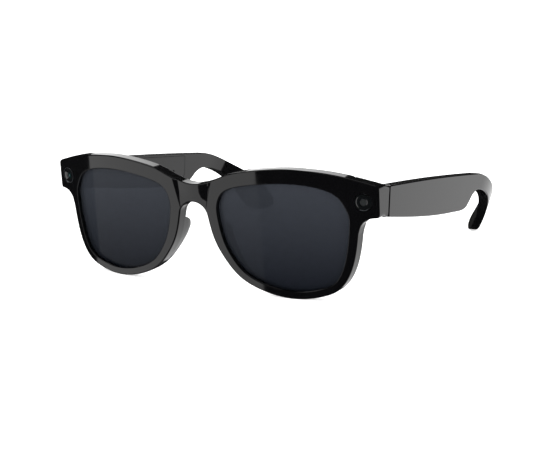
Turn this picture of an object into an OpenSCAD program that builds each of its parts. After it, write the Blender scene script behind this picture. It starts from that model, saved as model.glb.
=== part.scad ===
// Smart glasses: a bowed two-shell front with two lenses, a camera and an indicator light,
// and two folding temples that hold the electronics.
//
// Three frames are used. The front frame has X across, Y back from the bridge and Z up from the
// lenses' centre line. The arm frame starts at a temple's outer top corner, with X across (the
// wearer's side is -X), Y along the temple and Z up its face. The eye frame has its origin on
// the front surface at an end piece's round window, with Z running back into the end piece.

/* [Lenses] */
// Width of one lens opening
lens_w = 51.5; // [44:0.5:62]
// Height of one lens opening
lens_h = 39.8; // [33:0.2:48]
// Distance between the two lens openings
bridge_w = 21.6; // [18:0.2:26]
// Thickness of a lens
lens_t = 1.6; // [1.2:0.1:1.8]
// How far a lens reaches under the rim's front lip
lens_lap = 0.9; // [0.7:0.1:1.1]

/* [Front] */
// Radius that the front is bowed to
bow_r = 282; // [230:1:400]
// Thickness of the front, shells together
rim_t = 4.6; // [4.4:0.1:5.6]
// Thickness of the rear shell
rear_t = 1.25; // [1:0.05:1.6]
// Thickness of the lip in front of a lens
lip_t = 1.6; // [1.2:0.1:1.8]
// Width of the rim above a lens
rim_top_w = 5.4; // [4.6:0.1:6.6]
// Width of the rim beside the nose
rim_nose_w = 5.0; // [4:0.1:6]
// Width of the rim below a lens
rim_bottom_w = 2.9; // [2.4:0.1:3.6]
// Width of the rim on the temple's side
rim_side_w = 3.3; // [2.7:0.1:4]
// How far the bridge's top dips below the top of the lens openings
bridge_drop = 2.2; // [1.5:0.1:3]
// Height of the bridge at its centre
bridge_h = 6.9; // [5.6:0.1:8.4]
// How far the bridge's face lies behind the rims' faces
bridge_step = 0.9; // [0.5:0.1:1.2]
// Radius of the arch under the bridge
arch_r = 6.8; // [5.6:0.1:8.2]

/* [End pieces] */
// Width of an end piece beyond the lens opening
end_w = 10.7; // [10.2:0.1:13]
// Height of an end piece
end_h = 11.4; // [10.6:0.1:13.8]
// Depth of an end piece, from its front edge to the temple
end_depth = 8.8; // [8.2:0.1:11]
// Radius of the curve under an end piece
end_fillet_r = 5.6; // [4:0.1:7]
// Thickness of the end pieces' and temples' walls
wall = 1.2; // [1:0.1:1.4]
// Radius of the ring around an end piece's round window
eye_ring_r = 3.3; // [2.8:0.1:3.6]
// Width of that ring
eye_ring_w = 0.5; // [0.4:0.05:0.7]
// Thickness of the round windows
eye_glass_t = 0.8; // [0.6:0.1:1]
// Radius of the indicator's light pipe
pipe_r = 1.25; // [0.9:0.05:1.5]

/* [Nose pads] */
// Height of a nose pad
pad_len = 21; // [18:0.5:22.5]
// Thickness of a nose pad
pad_t = 2.6; // [2:0.1:3]
// How far a nose pad stands behind the front
pad_depth = 6.2; // [5:0.1:7.5]

/* [Temples] */
// Length of a temple from the gap to its bend
bend_len = 86; // [80:1:104]
// Length of the ear hook beyond the bend
hook_len = 38.6; // [32:0.2:46]
// Drop of the ear hook
hook_drop = 27.5; // [25:0.5:33]
// Height of a temple at the hinge
butt_h = 11.2; // [10.4:0.1:13.4]
// Height of a temple's widest part
arm_h = 14.2; // [13.2:0.1:17]
// Thickness of a temple
arm_t = 4.8; // [4.6:0.1:5.8]
// Thickness of a temple's inner cover
cover_t = 1.0; // [0.8:0.1:1.2]
// Angle between the temples and the square to the front
droop = 8.9; // [7:0.1:11]
// Angle that the temples close inwards at rest
toe_in = 1.0; // [0:0.1:1.5]
// Radius that an ear hook is bent to
hook_bend_r = 60; // [50:1:80]
// Width of the gap between end piece and temple
gap = 0.3; // [0.2:0.05:0.4]

/* [Hinges] */
// Radius of a hinge pin
pin_r = 0.7; // [0.6:0.05:0.85]
// Outer radius of a hinge's knuckles
knuckle_r = 1.6; // [1.45:0.05:1.9]
// Height of one knuckle
knuckle_h = 2.5; // [2.1:0.1:2.8]
// Radial clearance of a pin in a turning knuckle
pin_fit = 0.03; // [0.02:0.01:0.06]
// Thickness of the hinge's plates
leaf_t = 0.9; // [0.7:0.05:1]

/* [Controls] */
// Length of the capture button
button_l = 10; // [8:0.5:12]
// Width of the capture button
button_w = 2.4; // [2:0.1:2.8]
// How far the capture button stands proud
button_up = 1.2; // [0.8:0.1:1.5]
// Travel of the capture button
button_travel = 0.4; // [0.3:0.05:0.5]
// Length of the power switch's slider
slider_l = 5; // [4:0.25:6]
// Travel of the power switch
slider_travel = 2; // [1.5:0.25:2.5]

/* [Electronics] */
// Thickness of the battery
battery_t = 2.1; // [1.5:0.1:2.2]
// Thickness of a circuit board
board_t = 0.6; // [0.4:0.1:0.8]
// Length of a speaker
speaker_l = 12; // [10:0.5:14]

/* [Hidden] */

fit = 0.05;   // clearance between two pieces that are fixed together
free = 0.15;  // clearance around a piece that moves
eps = 0.01;
reach = 60;   // long enough to cut through the front

// Front frame
lens_cx = bridge_w / 2 + lens_w / 2;
front_half = bridge_w / 2 + lens_w + end_w;
end_top = lens_h / 2 + 0.2;
end_bottom = end_top - end_h;
rim_low = -lens_h / 2 - rim_bottom_w;
shell_back = rim_t - rear_t;
pod_w = arm_t + 2 * knuckle_r + wall + 0.4;   // an end piece's block, which holds the hinge
lens_back = lip_t + lens_t + 2 * fit;
bridge_top = lens_h / 2 - bridge_drop;
brow_x = lens_cx + lens_w / 6;
brow_rise = lens_h / 2 + rim_top_w - 0.25 - end_top;
saddle_x = bridge_w;
saddle_rise = rim_top_w - 0.1;

function bow_y(x) = bow_r - sqrt(bow_r * bow_r - x * x);

// Round windows in the end pieces
eye_x = front_half - end_w / 2 - 0.15;
eye_z = end_top - end_h / 2;
eye_turn = asin(eye_x / bow_r);
eye_hole_r = eye_ring_r - eye_ring_w;

// Arm frame
arm_y = bow_y(front_half) + end_depth;
arm_z = end_top - end_depth * tan(droop);
pin_x = arm_t + knuckle_r + 0.2;
pin_y = -gap / 2;
hinge_z = -butt_h / 2;
knuckle_gap = 0.05;
leaf_end = 9;
bay_y = leaf_end + 1.2;
step_y = bend_len - 19;
bay_end = step_y + 1;
bend_tilt = 37;
bend_y = bend_len + 2.4;
bend_z = -4.3;
hook_inner_r = hook_bend_r + 5;

// Rest: the rims' lower edges and the hooks' tips touch one level surface
tip_s = bend_len + 0.84 * hook_len;
tip_y = arm_y + tip_s * cos(droop) - hook_drop * sin(droop);
tip_z = arm_z - tip_s * sin(droop) - hook_drop * cos(droop);
rim_y = bow_y(lens_cx);
rest_pitch = atan2(rim_low - tip_z, tip_y - rim_y);
floor_z = rim_low * cos(rest_pitch) + rim_y * sin(rest_pitch);
back_s = bend_len + hook_len;
back_y = arm_y + back_s * cos(droop) - 0.78 * hook_drop * sin(droop) + 0.6;
middle_y = back_y / 2;

// Lens opening, as shares of its half width and half height, from the temple's side round
// under the lens to the nose and back over the top
OPENING = [
    [1.00, 0.33], [0.93, -0.35], [0.78, -0.77], [0.51, -0.94], [0.14, -1.00], [-0.25, -0.92],
    [-0.62, -0.69], [-0.88, -0.24], [-0.99, 0.28], [-0.98, 0.59], [-0.84, 0.81], [-0.49, 0.93],
    [0.06, 1.00], [0.52, 0.96], [0.81, 0.83], [0.95, 0.60],
];
// Ear hook, as shares of its length and drop, from the bend round the tip to the notch
HOOK = [
    [0.00, 0.00], [0.21, -0.06], [0.47, -0.19], [0.73, -0.36], [0.91, -0.56], [1.00, -0.78],
    [0.97, -0.93], [0.84, -1.00], [0.71, -0.96], [0.64, -0.81], [0.57, -0.62], [0.385, -0.41],
    [0.18, -0.29], [-0.03, -0.245],
];
// Mid line of the stiffener in the ear hook, in the same shares
CORE = [[-0.20, -0.12], [0.10, -0.15], [0.36, -0.28], [0.60, -0.46], [0.78, -0.68]];

// ---- Curves ----

function knot(a, b, c, d, t) =
    ((2 * b) + (c - a) * t + (2 * a - 5 * b + 4 * c - d) * t * t
    + (3 * b - a - 3 * c + d) * t * t * t) / 2;
function ring_curve(p, n) = let (m = len(p)) [
    for (i = [0 : m - 1]) for (k = [0 : n - 1])
        knot(p[(i + m - 1) % m], p[i], p[(i + 1) % m], p[(i + 2) % m], k / n)
];
function open_curve(p, n) = let (m = len(p)) [
    for (i = [0 : m - 2]) for (k = [0 : n - (i == m - 2 ? 0 : 1)])
        knot(p[max(i - 1, 0)], p[i], p[i + 1], p[min(i + 2, m - 1)], k / n)
];
function unit(v) = v / norm(v);
function side_of(p, i, m) = let (d = unit(p[(i + 1) % m] - p[(i + m - 1) % m])) [-d[1], d[0]];
function band(p, w) = let (
    m = len(p),
    n = [for (i = [0 : m - 1])
        let (d = unit(p[min(i + 1, m - 1)] - p[max(i - 1, 0)])) [-d[1], d[0]]]
) concat(
    [for (i = [0 : m - 1]) p[i] + n[i] * w / 2],
    [for (i = [m - 1 : -1 : 0]) p[i] - n[i] * w / 2]
);

// Width of the rim where its outward direction has the angle a
function rim_w(a) = lookup(a, [
    [-180, rim_nose_w], [-145, rim_bottom_w + 0.4], [-110, rim_bottom_w], [-35, rim_bottom_w],
    [0, rim_side_w], [45, (rim_side_w + rim_top_w) / 2], [80, rim_top_w], [150, rim_top_w],
    [180, rim_nose_w],
]);
opening = ring_curve([for (p = OPENING) [p[0] * lens_w / 2, p[1] * lens_h / 2]], 4);
function opening_out(w) = let (m = len(opening)) [
    for (i = [0 : m - 1]) opening[i] + side_of(opening, i, m) * w
];
rim_curve = let (m = len(opening)) [
    for (i = [0 : m - 1])
        let (n = side_of(opening, i, m)) opening[i] + n * rim_w(atan2(n[1], n[0]))
];

// Temple's outline in the arm frame
function arm_low(s) = -(butt_h + (arm_h - butt_h) * sin(90 * min(s / 55, 1)));
function arm_high(s) = 0.5 * sin(180 * min(s / bend_len, 1));
hook_points = [for (p = HOOK) [bend_len + p[0] * hook_len, p[1] * hook_drop]];
arm_outline = concat(
    [for (k = [0 : 9]) [k * bend_len / 10, arm_high(k * bend_len / 10)]],
    open_curve(concat(hook_points, [
        [step_y + 12.4, -0.58 * arm_h], [step_y + 8.2, -0.80 * arm_h],
        [step_y + 4.6, -0.95 * arm_h], [step_y, arm_low(step_y)],
    ]), 4),
    [for (k = [9 : -1 : 0]) [k * step_y / 10, arm_low(k * step_y / 10)]]
);

// ---- Frames ----

module on_surface() translate([0, -middle_y, -floor_z]) rotate([rest_pitch, 0, 0]) children();
module both() for (s = [0, 1]) mirror([s, 0, 0]) children();
module across() rotate([90, 0, 0]) translate([0, 0, -reach]) linear_extrude(reach + 1) children();
// Layer of the bowed front from depth a to depth b behind its face
module bow(a, b) translate([0, bow_r, -reach]) difference() {
    cylinder(r = bow_r - a, h = 2 * reach, $fn = 360);
    translate([0, 0, -1]) cylinder(r = bow_r - b, h = 2 * reach + 2, $fn = 360);
}
module end_frame() translate([front_half, arm_y, arm_z]) rotate([-droop, 0, 0]) children();
module arm_frame() end_frame() translate([-pin_x, pin_y, 0]) rotate([0, 0, toe_in])
    translate([pin_x, -pin_y, 0]) children();
module eye_frame() translate([eye_x, bow_y(eye_x), eye_z]) rotate([0, 0, eye_turn])
    rotate([-90, 0, 0]) children();
module arm_box(a, b) translate([-b[0], a[1], a[2]]) cube([b[0] - a[0], b[1] - a[1], b[2] - a[2]]);
// A round piece along the arm frame's X, from depth a to depth b behind the outer face
module arm_rod(r, a, b, y, z, sides = 32) translate([-b, y, z]) rotate([0, 90, 0])
    cylinder(r = r, h = b - a, $fn = sides);

// ---- Front ----

module lens_places() both() translate([lens_cx, 0]) children();
module opening_shape(w = 0) polygon(opening_out(w));

module end_shape() {
    r = min(end_fillet_r, end_w - rim_side_w - 0.5);
    cx = lens_cx + lens_w / 2 + rim_side_w + r;
    run = front_half - brow_x;
    polygon(concat(
        [for (k = [0 : 10]) let (t = k / 10)
            [front_half - t * run, end_top + brow_rise * (1 - pow(1 - t, 1.75))]],
        [[brow_x, lens_h / 2 - 2], [lens_cx + 0.45 * lens_w, 0.2 * lens_h]],
        [for (k = [0 : 6]) let (a = 180 - 15 * k)
            [cx + r * cos(a), end_bottom - r + r * sin(a)]],
        [[front_half, end_bottom]]
    ));
}

module bridge_shape() difference() {
    polygon(concat(
        [for (k = [-11 : 11]) let (x = k * saddle_x / 11)
            [x, bridge_top + saddle_rise * pow(sin(90 * abs(k) / 11), 2)]],
        [[bridge_w / 2 - rim_nose_w / 2, bridge_top - bridge_h - 3.2],
         [rim_nose_w / 2 - bridge_w / 2, bridge_top - bridge_h - 3.2]]
    ));
    translate([0, bridge_top - bridge_h - arch_r]) circle(r = arch_r, $fn = 64);
}

// The front's outline with the lens openings through it, from depth a to depth b
module front_layer(a, b) intersection() {
    difference() {
        union() {
            across() lens_places() polygon(rim_curve);
            across() both() end_shape();
            across() bridge_shape();
        }
        across() lens_places() opening_shape();
    }
    bow(a, b);
}

// The bridge's set-back face, between the two creases
module crease_shape() polygon([
    [-bridge_w / 2 + 1.2, bridge_top + 4], [bridge_w / 2 - 1.2, bridge_top + 4],
    [bridge_w / 2 - rim_nose_w, bridge_top - bridge_h - 3],
    [rim_nose_w - bridge_w / 2, bridge_top - bridge_h - 3],
]);

// Block behind an end piece, and the hollow in it
module pod_block(grow = 0) intersection() {
    end_frame() arm_box([-grow, -20, -butt_h - grow], [pod_w + grow, -gap, grow]);
    translate([0, bow_r, -reach]) cylinder(r = bow_r - eps, h = 2 * reach, $fn = 360);
}
module pod_hollow() intersection() {
    end_frame() arm_box([wall, -20, -butt_h + wall], [pod_w - wall, 1, -wall]);
    translate([0, bow_r, -reach]) cylinder(r = bow_r - 2.2, h = 2 * reach, $fn = 360);
}

// Mid line of the flexible circuit along the brow
flex_line = let (over = rim_top_w * 0.62) open_curve([
    [-front_half + pod_w + 0.4, end_top - 0.5],
    [-brow_x - 4, lens_h / 2 + over - 1.1], [-brow_x + 6, lens_h / 2 + over],
    [-lens_cx + 12, lens_h / 2 + over - 2.0], [-bridge_w / 2 - 1, bridge_top + 0.4],
    [0, bridge_top - 2.4],
    [bridge_w / 2 + 1, bridge_top + 0.4], [lens_cx - 12, lens_h / 2 + over - 2.0],
    [brow_x - 6, lens_h / 2 + over], [brow_x + 4, lens_h / 2 + over - 1.1],
    [front_half - pod_w - 0.4, end_top - 0.5],
], 3);
flex_w = 1.6;
flex_t = 0.3;

// Everything outside the line where the rear shell stops short of an end piece
module end_limit(grow = 0) translate([front_half - pod_w - grow, -1, end_bottom - 0.6 - grow])
    cube([pod_w + 1, reach, reach]);
// Rib in an end piece that takes the hinge bracket's screws
rib_w = 2.6;
module pod_rib() end_frame() arm_box([wall - eps, -3.5, -butt_h + wall / 2],
    [wall + rib_w, bracket_y - leaf_t - fit, -wall / 2]);

module front_shell() color("#141416") difference() {
    union() {
        difference() {
            union() {
                front_layer(0, shell_back);
                intersection() {
                    front_layer(0, rim_t);
                    both() end_limit();
                }
                both() pod_block();
            }
            both() pod_hollow();
        }
        both() pod_rib();
    }
    intersection() {
        across() crease_shape();
        bow(-1, bridge_step);
    }
    intersection() {
        across() lens_places() opening_shape(lens_lap + fit);
        bow(lip_t, rim_t + 1);
    }
    intersection() {
        across() polygon(band(flex_line, flex_w + 2 * fit));
        bow(shell_back - flex_t - fit, shell_back + 1);
    }
    both() eye_frame() translate([0, 0, -1]) cylinder(r = eye_ring_r, h = 1 + eye_glass_t, $fn = 64);
    both() camera_frame() cylinder(r = barrel_r + free, h = 4, $fn = 64);
    both() bracket_holes();
    charge_hole();
    microphone_hole();
}

module rear_shell() color("#141416") difference() {
    front_layer(shell_back + fit, rim_t);
    intersection() {   // a thick lens reaches into the rear shell
        across() lens_places() opening_shape(lens_lap + fit);
        bow(lip_t, lens_back);
    }
    both() end_limit(fit);
    both() pod_block(fit);
    charge_hole();
    nose_microphone_hole();
}

module lens() intersection() {
    across() translate([lens_cx, 0]) opening_shape(lens_lap);
    bow(lip_t + fit, lens_back - fit);
}
module lens_left() color("#3c4048") lens();
module lens_right() color("#3c4048") mirror([1, 0, 0]) lens();

// Nose pad: a strip that follows the rim's nose side, behind the front
pad_top = lens_h * 0.075;
pad_first = 20;   // the rim curve's points that a pad follows
pad_last = 32;
module pad() intersection() {
    across() translate([lens_cx, 0]) intersection() {
        polygon(band([for (i = [pad_first : pad_last])
            rim_curve[i] - side_of(rim_curve, i, len(rim_curve)) * (0.5 + pad_t / 2)], pad_t));
        translate([-lens_w, pad_top - pad_len]) square([2 * lens_w, pad_len]);
    }
    bow(rim_t, rim_t + pad_depth);
}
module nose_pad_left() color("#1c1c20") pad();
module nose_pad_right() color("#1c1c20") mirror([1, 0, 0]) pad();

module front_flex() color("#7a4a1c") intersection() {
    across() polygon(band(flex_line, flex_w));
    bow(shell_back - flex_t, shell_back);
}

// ---- Camera and indicator ----

module eye_ring() difference() {
    cylinder(r = eye_ring_r - fit, h = eye_glass_t - fit, $fn = 64);
    translate([0, 0, -1]) cylinder(r = eye_hole_r, h = 3, $fn = 64);
}
module eye_disc(bore = 0) difference() {
    cylinder(r = eye_hole_r - fit, h = eye_glass_t - fit, $fn = 64);
    if (bore > 0) translate([0, 0, -1]) cylinder(r = bore, h = 3, $fn = 48);
}
// The camera looks straight ahead, behind a window that is turned with the front's bow
barrel_r = eye_hole_r - 0.4 - free;
barrel_y = 1.5;
barrel_l = 2.6;
module camera_frame() translate([eye_x, bow_y(eye_x), eye_z]) rotate([-90, 0, 0]) children();
module camera_bezel() color("#6f7276") mirror([1, 0, 0]) eye_frame() eye_ring();
module camera_window() color("#1d2a2c") mirror([1, 0, 0]) eye_frame() eye_disc();
module camera_barrel() color("#26282b") mirror([1, 0, 0]) camera_frame() translate([0, 0, barrel_y])
    difference() {
        cylinder(r = barrel_r, h = barrel_l, $fn = 48);
        translate([0, 0, -1]) cylinder(r = barrel_r - 0.7, h = 1.6, $fn = 48);
    }
module camera_module() color("#3a3d42") mirror([1, 0, 0]) camera_frame()
    translate([-2.8, -2.8, barrel_y + barrel_l]) cube([5.6, 5.6, 1.3]);
module indicator_bezel() color("#6f7276") eye_frame() eye_ring();
module indicator_window() color("#0b0b0c") eye_frame() eye_disc(pipe_r + fit);
module indicator_light_pipe() color("#8a8d90") eye_frame() cylinder(r = pipe_r, h = 3, $fn = 48);
module indicator_board() color("#1f5a3a") eye_frame() translate([-1.7, -2.5, 3])
    cube([4, 5, board_t]);

// Microphone port beside the indicator
module microphone_hole() translate([front_half - 1.2, bow_y(front_half - 1.2), eye_z])
    rotate([0, 0, eye_turn]) rotate([-90, 0, 0]) translate([-0.15, -1.1, -1]) cube([0.3, 2.2, 1.4]);

// ---- Bridge ----

port_w = 9;
port_h = 2.6;
port_z = bridge_top - bridge_h / 2 - 1.4;
module charge_hole() translate([-port_w / 2 - fit, rim_t - 1.4, port_z - port_h / 2 - fit])
    cube([port_w + 2 * fit, 3, port_h + 2 * fit]);
module contact_places() for (x = [-1.5, -0.5, 0.5, 1.5]) translate([x * 2, 0, port_z]) rotate([-90, 0, 0])
    children();
module charge_port() color("#1b1b1e") difference() {
    translate([-port_w / 2, rim_t - 1.35, port_z - port_h / 2]) cube([port_w, 1.4, port_h]);
    translate([0, rim_t - 2, 0]) contact_places() cylinder(r = 0.6 + fit, h = 4, $fn = 32);
}
module charge_contacts() color("#c9a85a") translate([0, rim_t - 1.35, 0]) contact_places()
    cylinder(r = 0.6, h = 1.4, $fn = 32);
mic_z = bridge_top - 1.6;
module nose_microphone_hole() translate([-1.3, 0, mic_z - 0.7]) cube([2.6, rim_t + 1, 1.4]);
module bridge_microphone() color("#b9bcc0") translate([-1.2, shell_back + fit + eps, mic_z - 0.6])
    cube([2.4, 0.9, 1.2]);

// ---- Hinges ----

module knuckle_axis() translate([-pin_x, pin_y, 0]) children();
// Heights, from the bottom, of the frame's two knuckles and the temple's middle one
low_z = hinge_z - 1.5 * knuckle_h;
module knuckle(z, bore) knuckle_axis() translate([0, 0, z]) difference() {
    cylinder(r = knuckle_r, h = knuckle_h, $fn = 48);
    translate([0, 0, -1]) cylinder(r = bore, h = knuckle_h + 2, $fn = 48);
}
screw_r = 0.5;
bracket_y = -gap - 0.2;
bracket_screws_x = wall + rib_w / 2;
bracket_screws_z = [hinge_z - 2.6, hinge_z + 2.6];
module bracket_screw_places() for (z = bracket_screws_z)
    translate([-bracket_screws_x, bracket_y, z]) children();
module bracket_holes() end_frame() bracket_screw_places() rotate([90, 0, 0])
    cylinder(r = screw_r + fit, h = 2.8, $fn = 32);
module bracket() end_frame() difference() {
    union() {
        difference() {
            arm_box([wall + fit, bracket_y - leaf_t, -butt_h + wall + fit],
                [pod_w - wall - fit, bracket_y, -wall - fit]);
            knuckle_axis() translate([0, 0, low_z - 0.5])
                cylinder(r = knuckle_r - 0.3, h = 3 * knuckle_h + 1, $fn = 48);
        }
        knuckle(low_z, pin_r + eps);
        knuckle(low_z + 2 * knuckle_h, pin_r + eps);
    }
    knuckle_axis() translate([0, 0, low_z + knuckle_h - knuckle_gap])
        cylinder(r = knuckle_r + free + 0.1, h = knuckle_h + 2 * knuckle_gap, $fn = 48);
    bracket_screw_places() translate([0, 1, 0]) rotate([90, 0, 0])
        cylinder(r = screw_r + fit, h = 4, $fn = 32);
}
module hinge_bracket_left() color("#8d9094") bracket();
module hinge_bracket_right() color("#8d9094") mirror([1, 0, 0]) bracket();

// Countersunk-head screw along +Z, with its head's top at zero
module small_screw(l) {
    translate([0, 0, -l]) cylinder(r = screw_r, h = l, $fn = 32);
    difference() {
        cylinder(r = 0.85, h = 0.25, $fn = 32);
        translate([-0.12, -0.6, 0.1]) cube([0.24, 1.2, 1]);
    }
}
module bracket_screws() end_frame() bracket_screw_places() rotate([-90, 0, 0]) small_screw(2.4);
module bracket_screws_left() color("#a0a3a6") bracket_screws();
module bracket_screws_right() color("#a0a3a6") mirror([1, 0, 0]) bracket_screws();

module pin() end_frame() knuckle_axis() {
    translate([0, 0, low_z + 0.1]) cylinder(r = pin_r, h = 3 * knuckle_h - 0.1, $fn = 48);
    translate([0, 0, low_z + 3 * knuckle_h]) difference() {
        cylinder(r = 1.2, h = 0.5, $fn = 48);
        translate([-0.15, -1, 0.25]) cube([0.3, 2, 1]);
    }
}
module hinge_pin_left() color("#a0a3a6") pin();
module hinge_pin_right() color("#a0a3a6") mirror([1, 0, 0]) pin();

leaf_low = low_z + 0.4;
leaf_high = low_z + 3 * knuckle_h - 0.4;
leaf_screws_y = [4, 7.4];
module leaf() arm_frame() difference() {
    union() {
        arm_box([arm_t - leaf_t, 0.5, leaf_low], [arm_t, leaf_end, leaf_high]);
        difference() {
            arm_box([arm_t - leaf_t, 0.3, low_z + knuckle_h], [pin_x, 1.2, low_z + 2 * knuckle_h]);
            knuckle_axis() translate([0, 0, low_z]) cylinder(r = knuckle_r - 0.3, h = 8, $fn = 48);
        }
        knuckle(low_z + knuckle_h, pin_r + pin_fit);
    }
    for (y = leaf_screws_y) arm_rod(screw_r + fit, 0, arm_t + 1, y, hinge_z);
}
module hinge_leaf_left() color("#8d9094") leaf();
module hinge_leaf_right() color("#8d9094") mirror([1, 0, 0]) leaf();
module leaf_screws() arm_frame() for (y = leaf_screws_y)
    translate([-arm_t, y, hinge_z]) rotate([0, -90, 0]) small_screw(2.6);
module leaf_screws_left() color("#a0a3a6") leaf_screws();
module leaf_screws_right() color("#a0a3a6") mirror([1, 0, 0]) leaf_screws();

// ---- Temples ----

module bend_frame() translate([0, bend_y, bend_z]) rotate([-bend_tilt, 0, 0]) children();
// The temple's thickness from depth a to depth b, flat up to the bend and curved beyond it.
// The inner face is curved less than the outer one, which thins the hook towards its tip.
module arm_layer(a, b, inner_r) bend_frame() {
    translate([-b, -2 * bend_len, -reach]) cube([b - a, 2 * bend_len, 2 * reach]);
    intersection() {
        translate([-hook_bend_r, 0, -reach])
            cylinder(r = hook_bend_r - a, h = 2 * reach, $fn = 180);
        difference() {
            translate([-hook_bend_r / 2, 0, -reach]) cube([hook_bend_r / 2, 0.9 * hook_bend_r, 2 * reach]);
            translate([-b - inner_r, 0, -reach - 1])
                cylinder(r = inner_r, h = 2 * reach + 2, $fn = 180);
        }
    }
}
module arm_extrude() rotate([90, 0, -90]) mirror([1, 0, 0]) translate([0, 0, -1])
    linear_extrude(hook_bend_r / 2) children();

// Outline of the bay in a temple and of its cover, a margin m inside the temple's edge
module bay_shape(m, from, to) polygon([
    [from, arm_high(from) - m], [to, -m],
    [to, arm_low(step_y) * 0.72 + m], [step_y - 2, arm_low(step_y) + m],
    [step_y * 0.5, arm_low(step_y * 0.5) + m], [from, arm_low(from) + m],
]);
cover_m = 0.7;
cover_y = leaf_end + 0.3;
cover_end = bay_end + 1.5;
bay_x = arm_t - cover_t;

core_line = open_curve([for (p = CORE) [bend_len + p[0] * hook_len, p[1] * hook_drop]], 4);
core_w = 2.4;
core_a = 1.3;
core_b = 2.1;

speaker_y = step_y - 2.8 - speaker_l;
speaker_w = 6.4;
speaker_z = arm_low(speaker_y) + wall + speaker_w / 2 + 0.8;
grille_l = speaker_l - 3;
mic_y = bay_y + 3;

module temple_shell() arm_frame() difference() {
    intersection() {
        arm_extrude() polygon(arm_outline);
        arm_layer(0, arm_t, hook_inner_r);
    }
    arm_box([arm_t - leaf_t - fit, -1, leaf_low - fit], [arm_t + 1, leaf_end + fit, leaf_high + fit]);
    for (y = leaf_screws_y) arm_rod(screw_r + fit, arm_t - leaf_t - 1.9, arm_t + 1, y, hinge_z);
    translate([-arm_t - 1, 0, 0]) rotate([90, 0, 90]) linear_extrude(arm_t + 1 - wall)
        bay_shape(wall + 0.4, bay_y, bay_end);
    translate([-arm_t - 1, 0, 0]) rotate([90, 0, 90]) linear_extrude(cover_t + 1 + fit)
        bay_shape(cover_m, cover_y - fit, cover_end + fit);
    intersection() {
        arm_extrude() polygon(band(core_line, core_w + 2 * fit));
        arm_layer(core_a - fit, core_b + fit, hook_bend_r - core_b - fit);
    }
    arm_box([wall, bay_end - 1, arm_low(bay_end) * 0.5 - 1.2], [core_b + fit, bay_end + 3, -2.2]);
}

module cover() difference() {
    arm_frame() translate([-arm_t, 0, 0]) rotate([90, 0, 90]) linear_extrude(cover_t)
        bay_shape(cover_m + fit, cover_y, cover_end);
    arm_frame() for (k = [0 : 4])
        arm_box([bay_x - 1, speaker_y + 1.5 + k * grille_l / 5, speaker_z - 2],
            [arm_t + 1, speaker_y + 2.3 + k * grille_l / 5, speaker_z + 2]);
    arm_frame() arm_rod(0.35, bay_x - 1, arm_t + 1, mic_y, arm_low(mic_y) + wall + 1.5);
}

module speaker() arm_frame() arm_box([bay_x - 2.3, speaker_y, speaker_z - speaker_w / 2],
    [bay_x - 0.25, speaker_y + speaker_l, speaker_z + speaker_w / 2]);
module grille() arm_frame() arm_box([bay_x - 0.2, speaker_y + 1, speaker_z - 2.4],
    [bay_x - eps, speaker_y + speaker_l - 1, speaker_z + 2.4]);
module temple_microphone() arm_frame()
    arm_box([bay_x - 1, mic_y - 1.3, arm_low(mic_y) + wall + 0.6],
        [bay_x - eps, mic_y + 1.3, arm_low(mic_y) + wall + 2.4]);
module tip_core() arm_frame() intersection() {
    arm_extrude() polygon(band(core_line, core_w));
    arm_layer(core_a, core_b, hook_bend_r - core_b);
}

// Capture button in the right temple's top edge, held under the wall by its flange
button_y = 19;
button_x = arm_t / 2 - 0.2;
button_high = arm_high(button_y) + button_up;
flange_w = 0.3;
roof_z = -wall - 0.4;
flange_z = roof_z - 0.6;
stem_z = flange_z - 0.3;
module button_pill(grow, z0, z1) arm_frame() translate([-button_x, button_y, z0]) {
    w = button_w + 2 * grow;
    l = button_l + 2 * grow;
    translate([-w / 2, w / 2 - l / 2, 0]) cube([w, l - w, z1 - z0]);
    for (s = [-1, 1]) translate([0, s * (l - w) / 2, 0]) cylinder(r = w / 2, h = z1 - z0, $fn = 32);
}
module capture_button() color("#1a1a1d") mirror([1, 0, 0]) {
    button_pill(0, flange_z, button_high);
    button_pill(flange_w, flange_z, roof_z - 0.02);
    arm_frame() translate([-button_x, button_y, stem_z]) cylinder(r = 0.6, h = 0.5, $fn = 24);
}

// Power switch on the left temple's inner cover
slide_y = bay_y + 9;
slide_z = arm_low(slide_y) / 2;
slot_a = slide_y - slider_l / 2 - free;
slot_b = slide_y + slider_l / 2 + slider_travel + free;
module power_slider() color("#2a2a2e") arm_frame() {
    arm_box([bay_x - 0.1, slide_y - slider_l / 2, slide_z - 1.1],
        [arm_t + 0.5, slide_y + slider_l / 2, slide_z + 1.1]);
    arm_box([bay_x - 0.5, slide_y - slider_l / 2 - 0.5, slide_z - 1.5],
        [bay_x - 0.1, slide_y + slider_l / 2 + 0.5, slide_z + 1.5]);
}
module power_switch() color("#55585c") arm_frame() arm_box([bay_x - 1.8, slot_a - 1, slide_z - 1.6],
    [bay_x - 0.5 - fit, slot_b + 1, slide_z + 1.6]);

module temple_shell_left() color("#141416") temple_shell();
module temple_shell_right() color("#141416") mirror([1, 0, 0]) difference() {
    temple_shell();
    button_pill(free, roof_z - 1, button_high + 1);
    button_pill(flange_w + free, stem_z - button_travel, roof_z);
}
module temple_cover_left() color("#1a1a1d") difference() {
    cover();
    arm_frame() arm_box([bay_x - 1, slot_a, slide_z - 1.1 - free],
        [arm_t + 1, slot_b, slide_z + 1.1 + free]);
}
module temple_cover_right() color("#1a1a1d") mirror([1, 0, 0]) cover();
module speaker_left() color("#4a4d52") speaker();
module speaker_right() color("#4a4d52") mirror([1, 0, 0]) speaker();
module speaker_grille_left() color("#9a9da1") grille();
module speaker_grille_right() color("#9a9da1") mirror([1, 0, 0]) grille();
module temple_microphone_left() color("#b9bcc0") temple_microphone();
module temple_microphone_right() color("#b9bcc0") mirror([1, 0, 0]) temple_microphone();
module tip_core_left() color("#a0a3a6") tip_core();
module tip_core_right() color("#a0a3a6") mirror([1, 0, 0]) tip_core();

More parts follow.
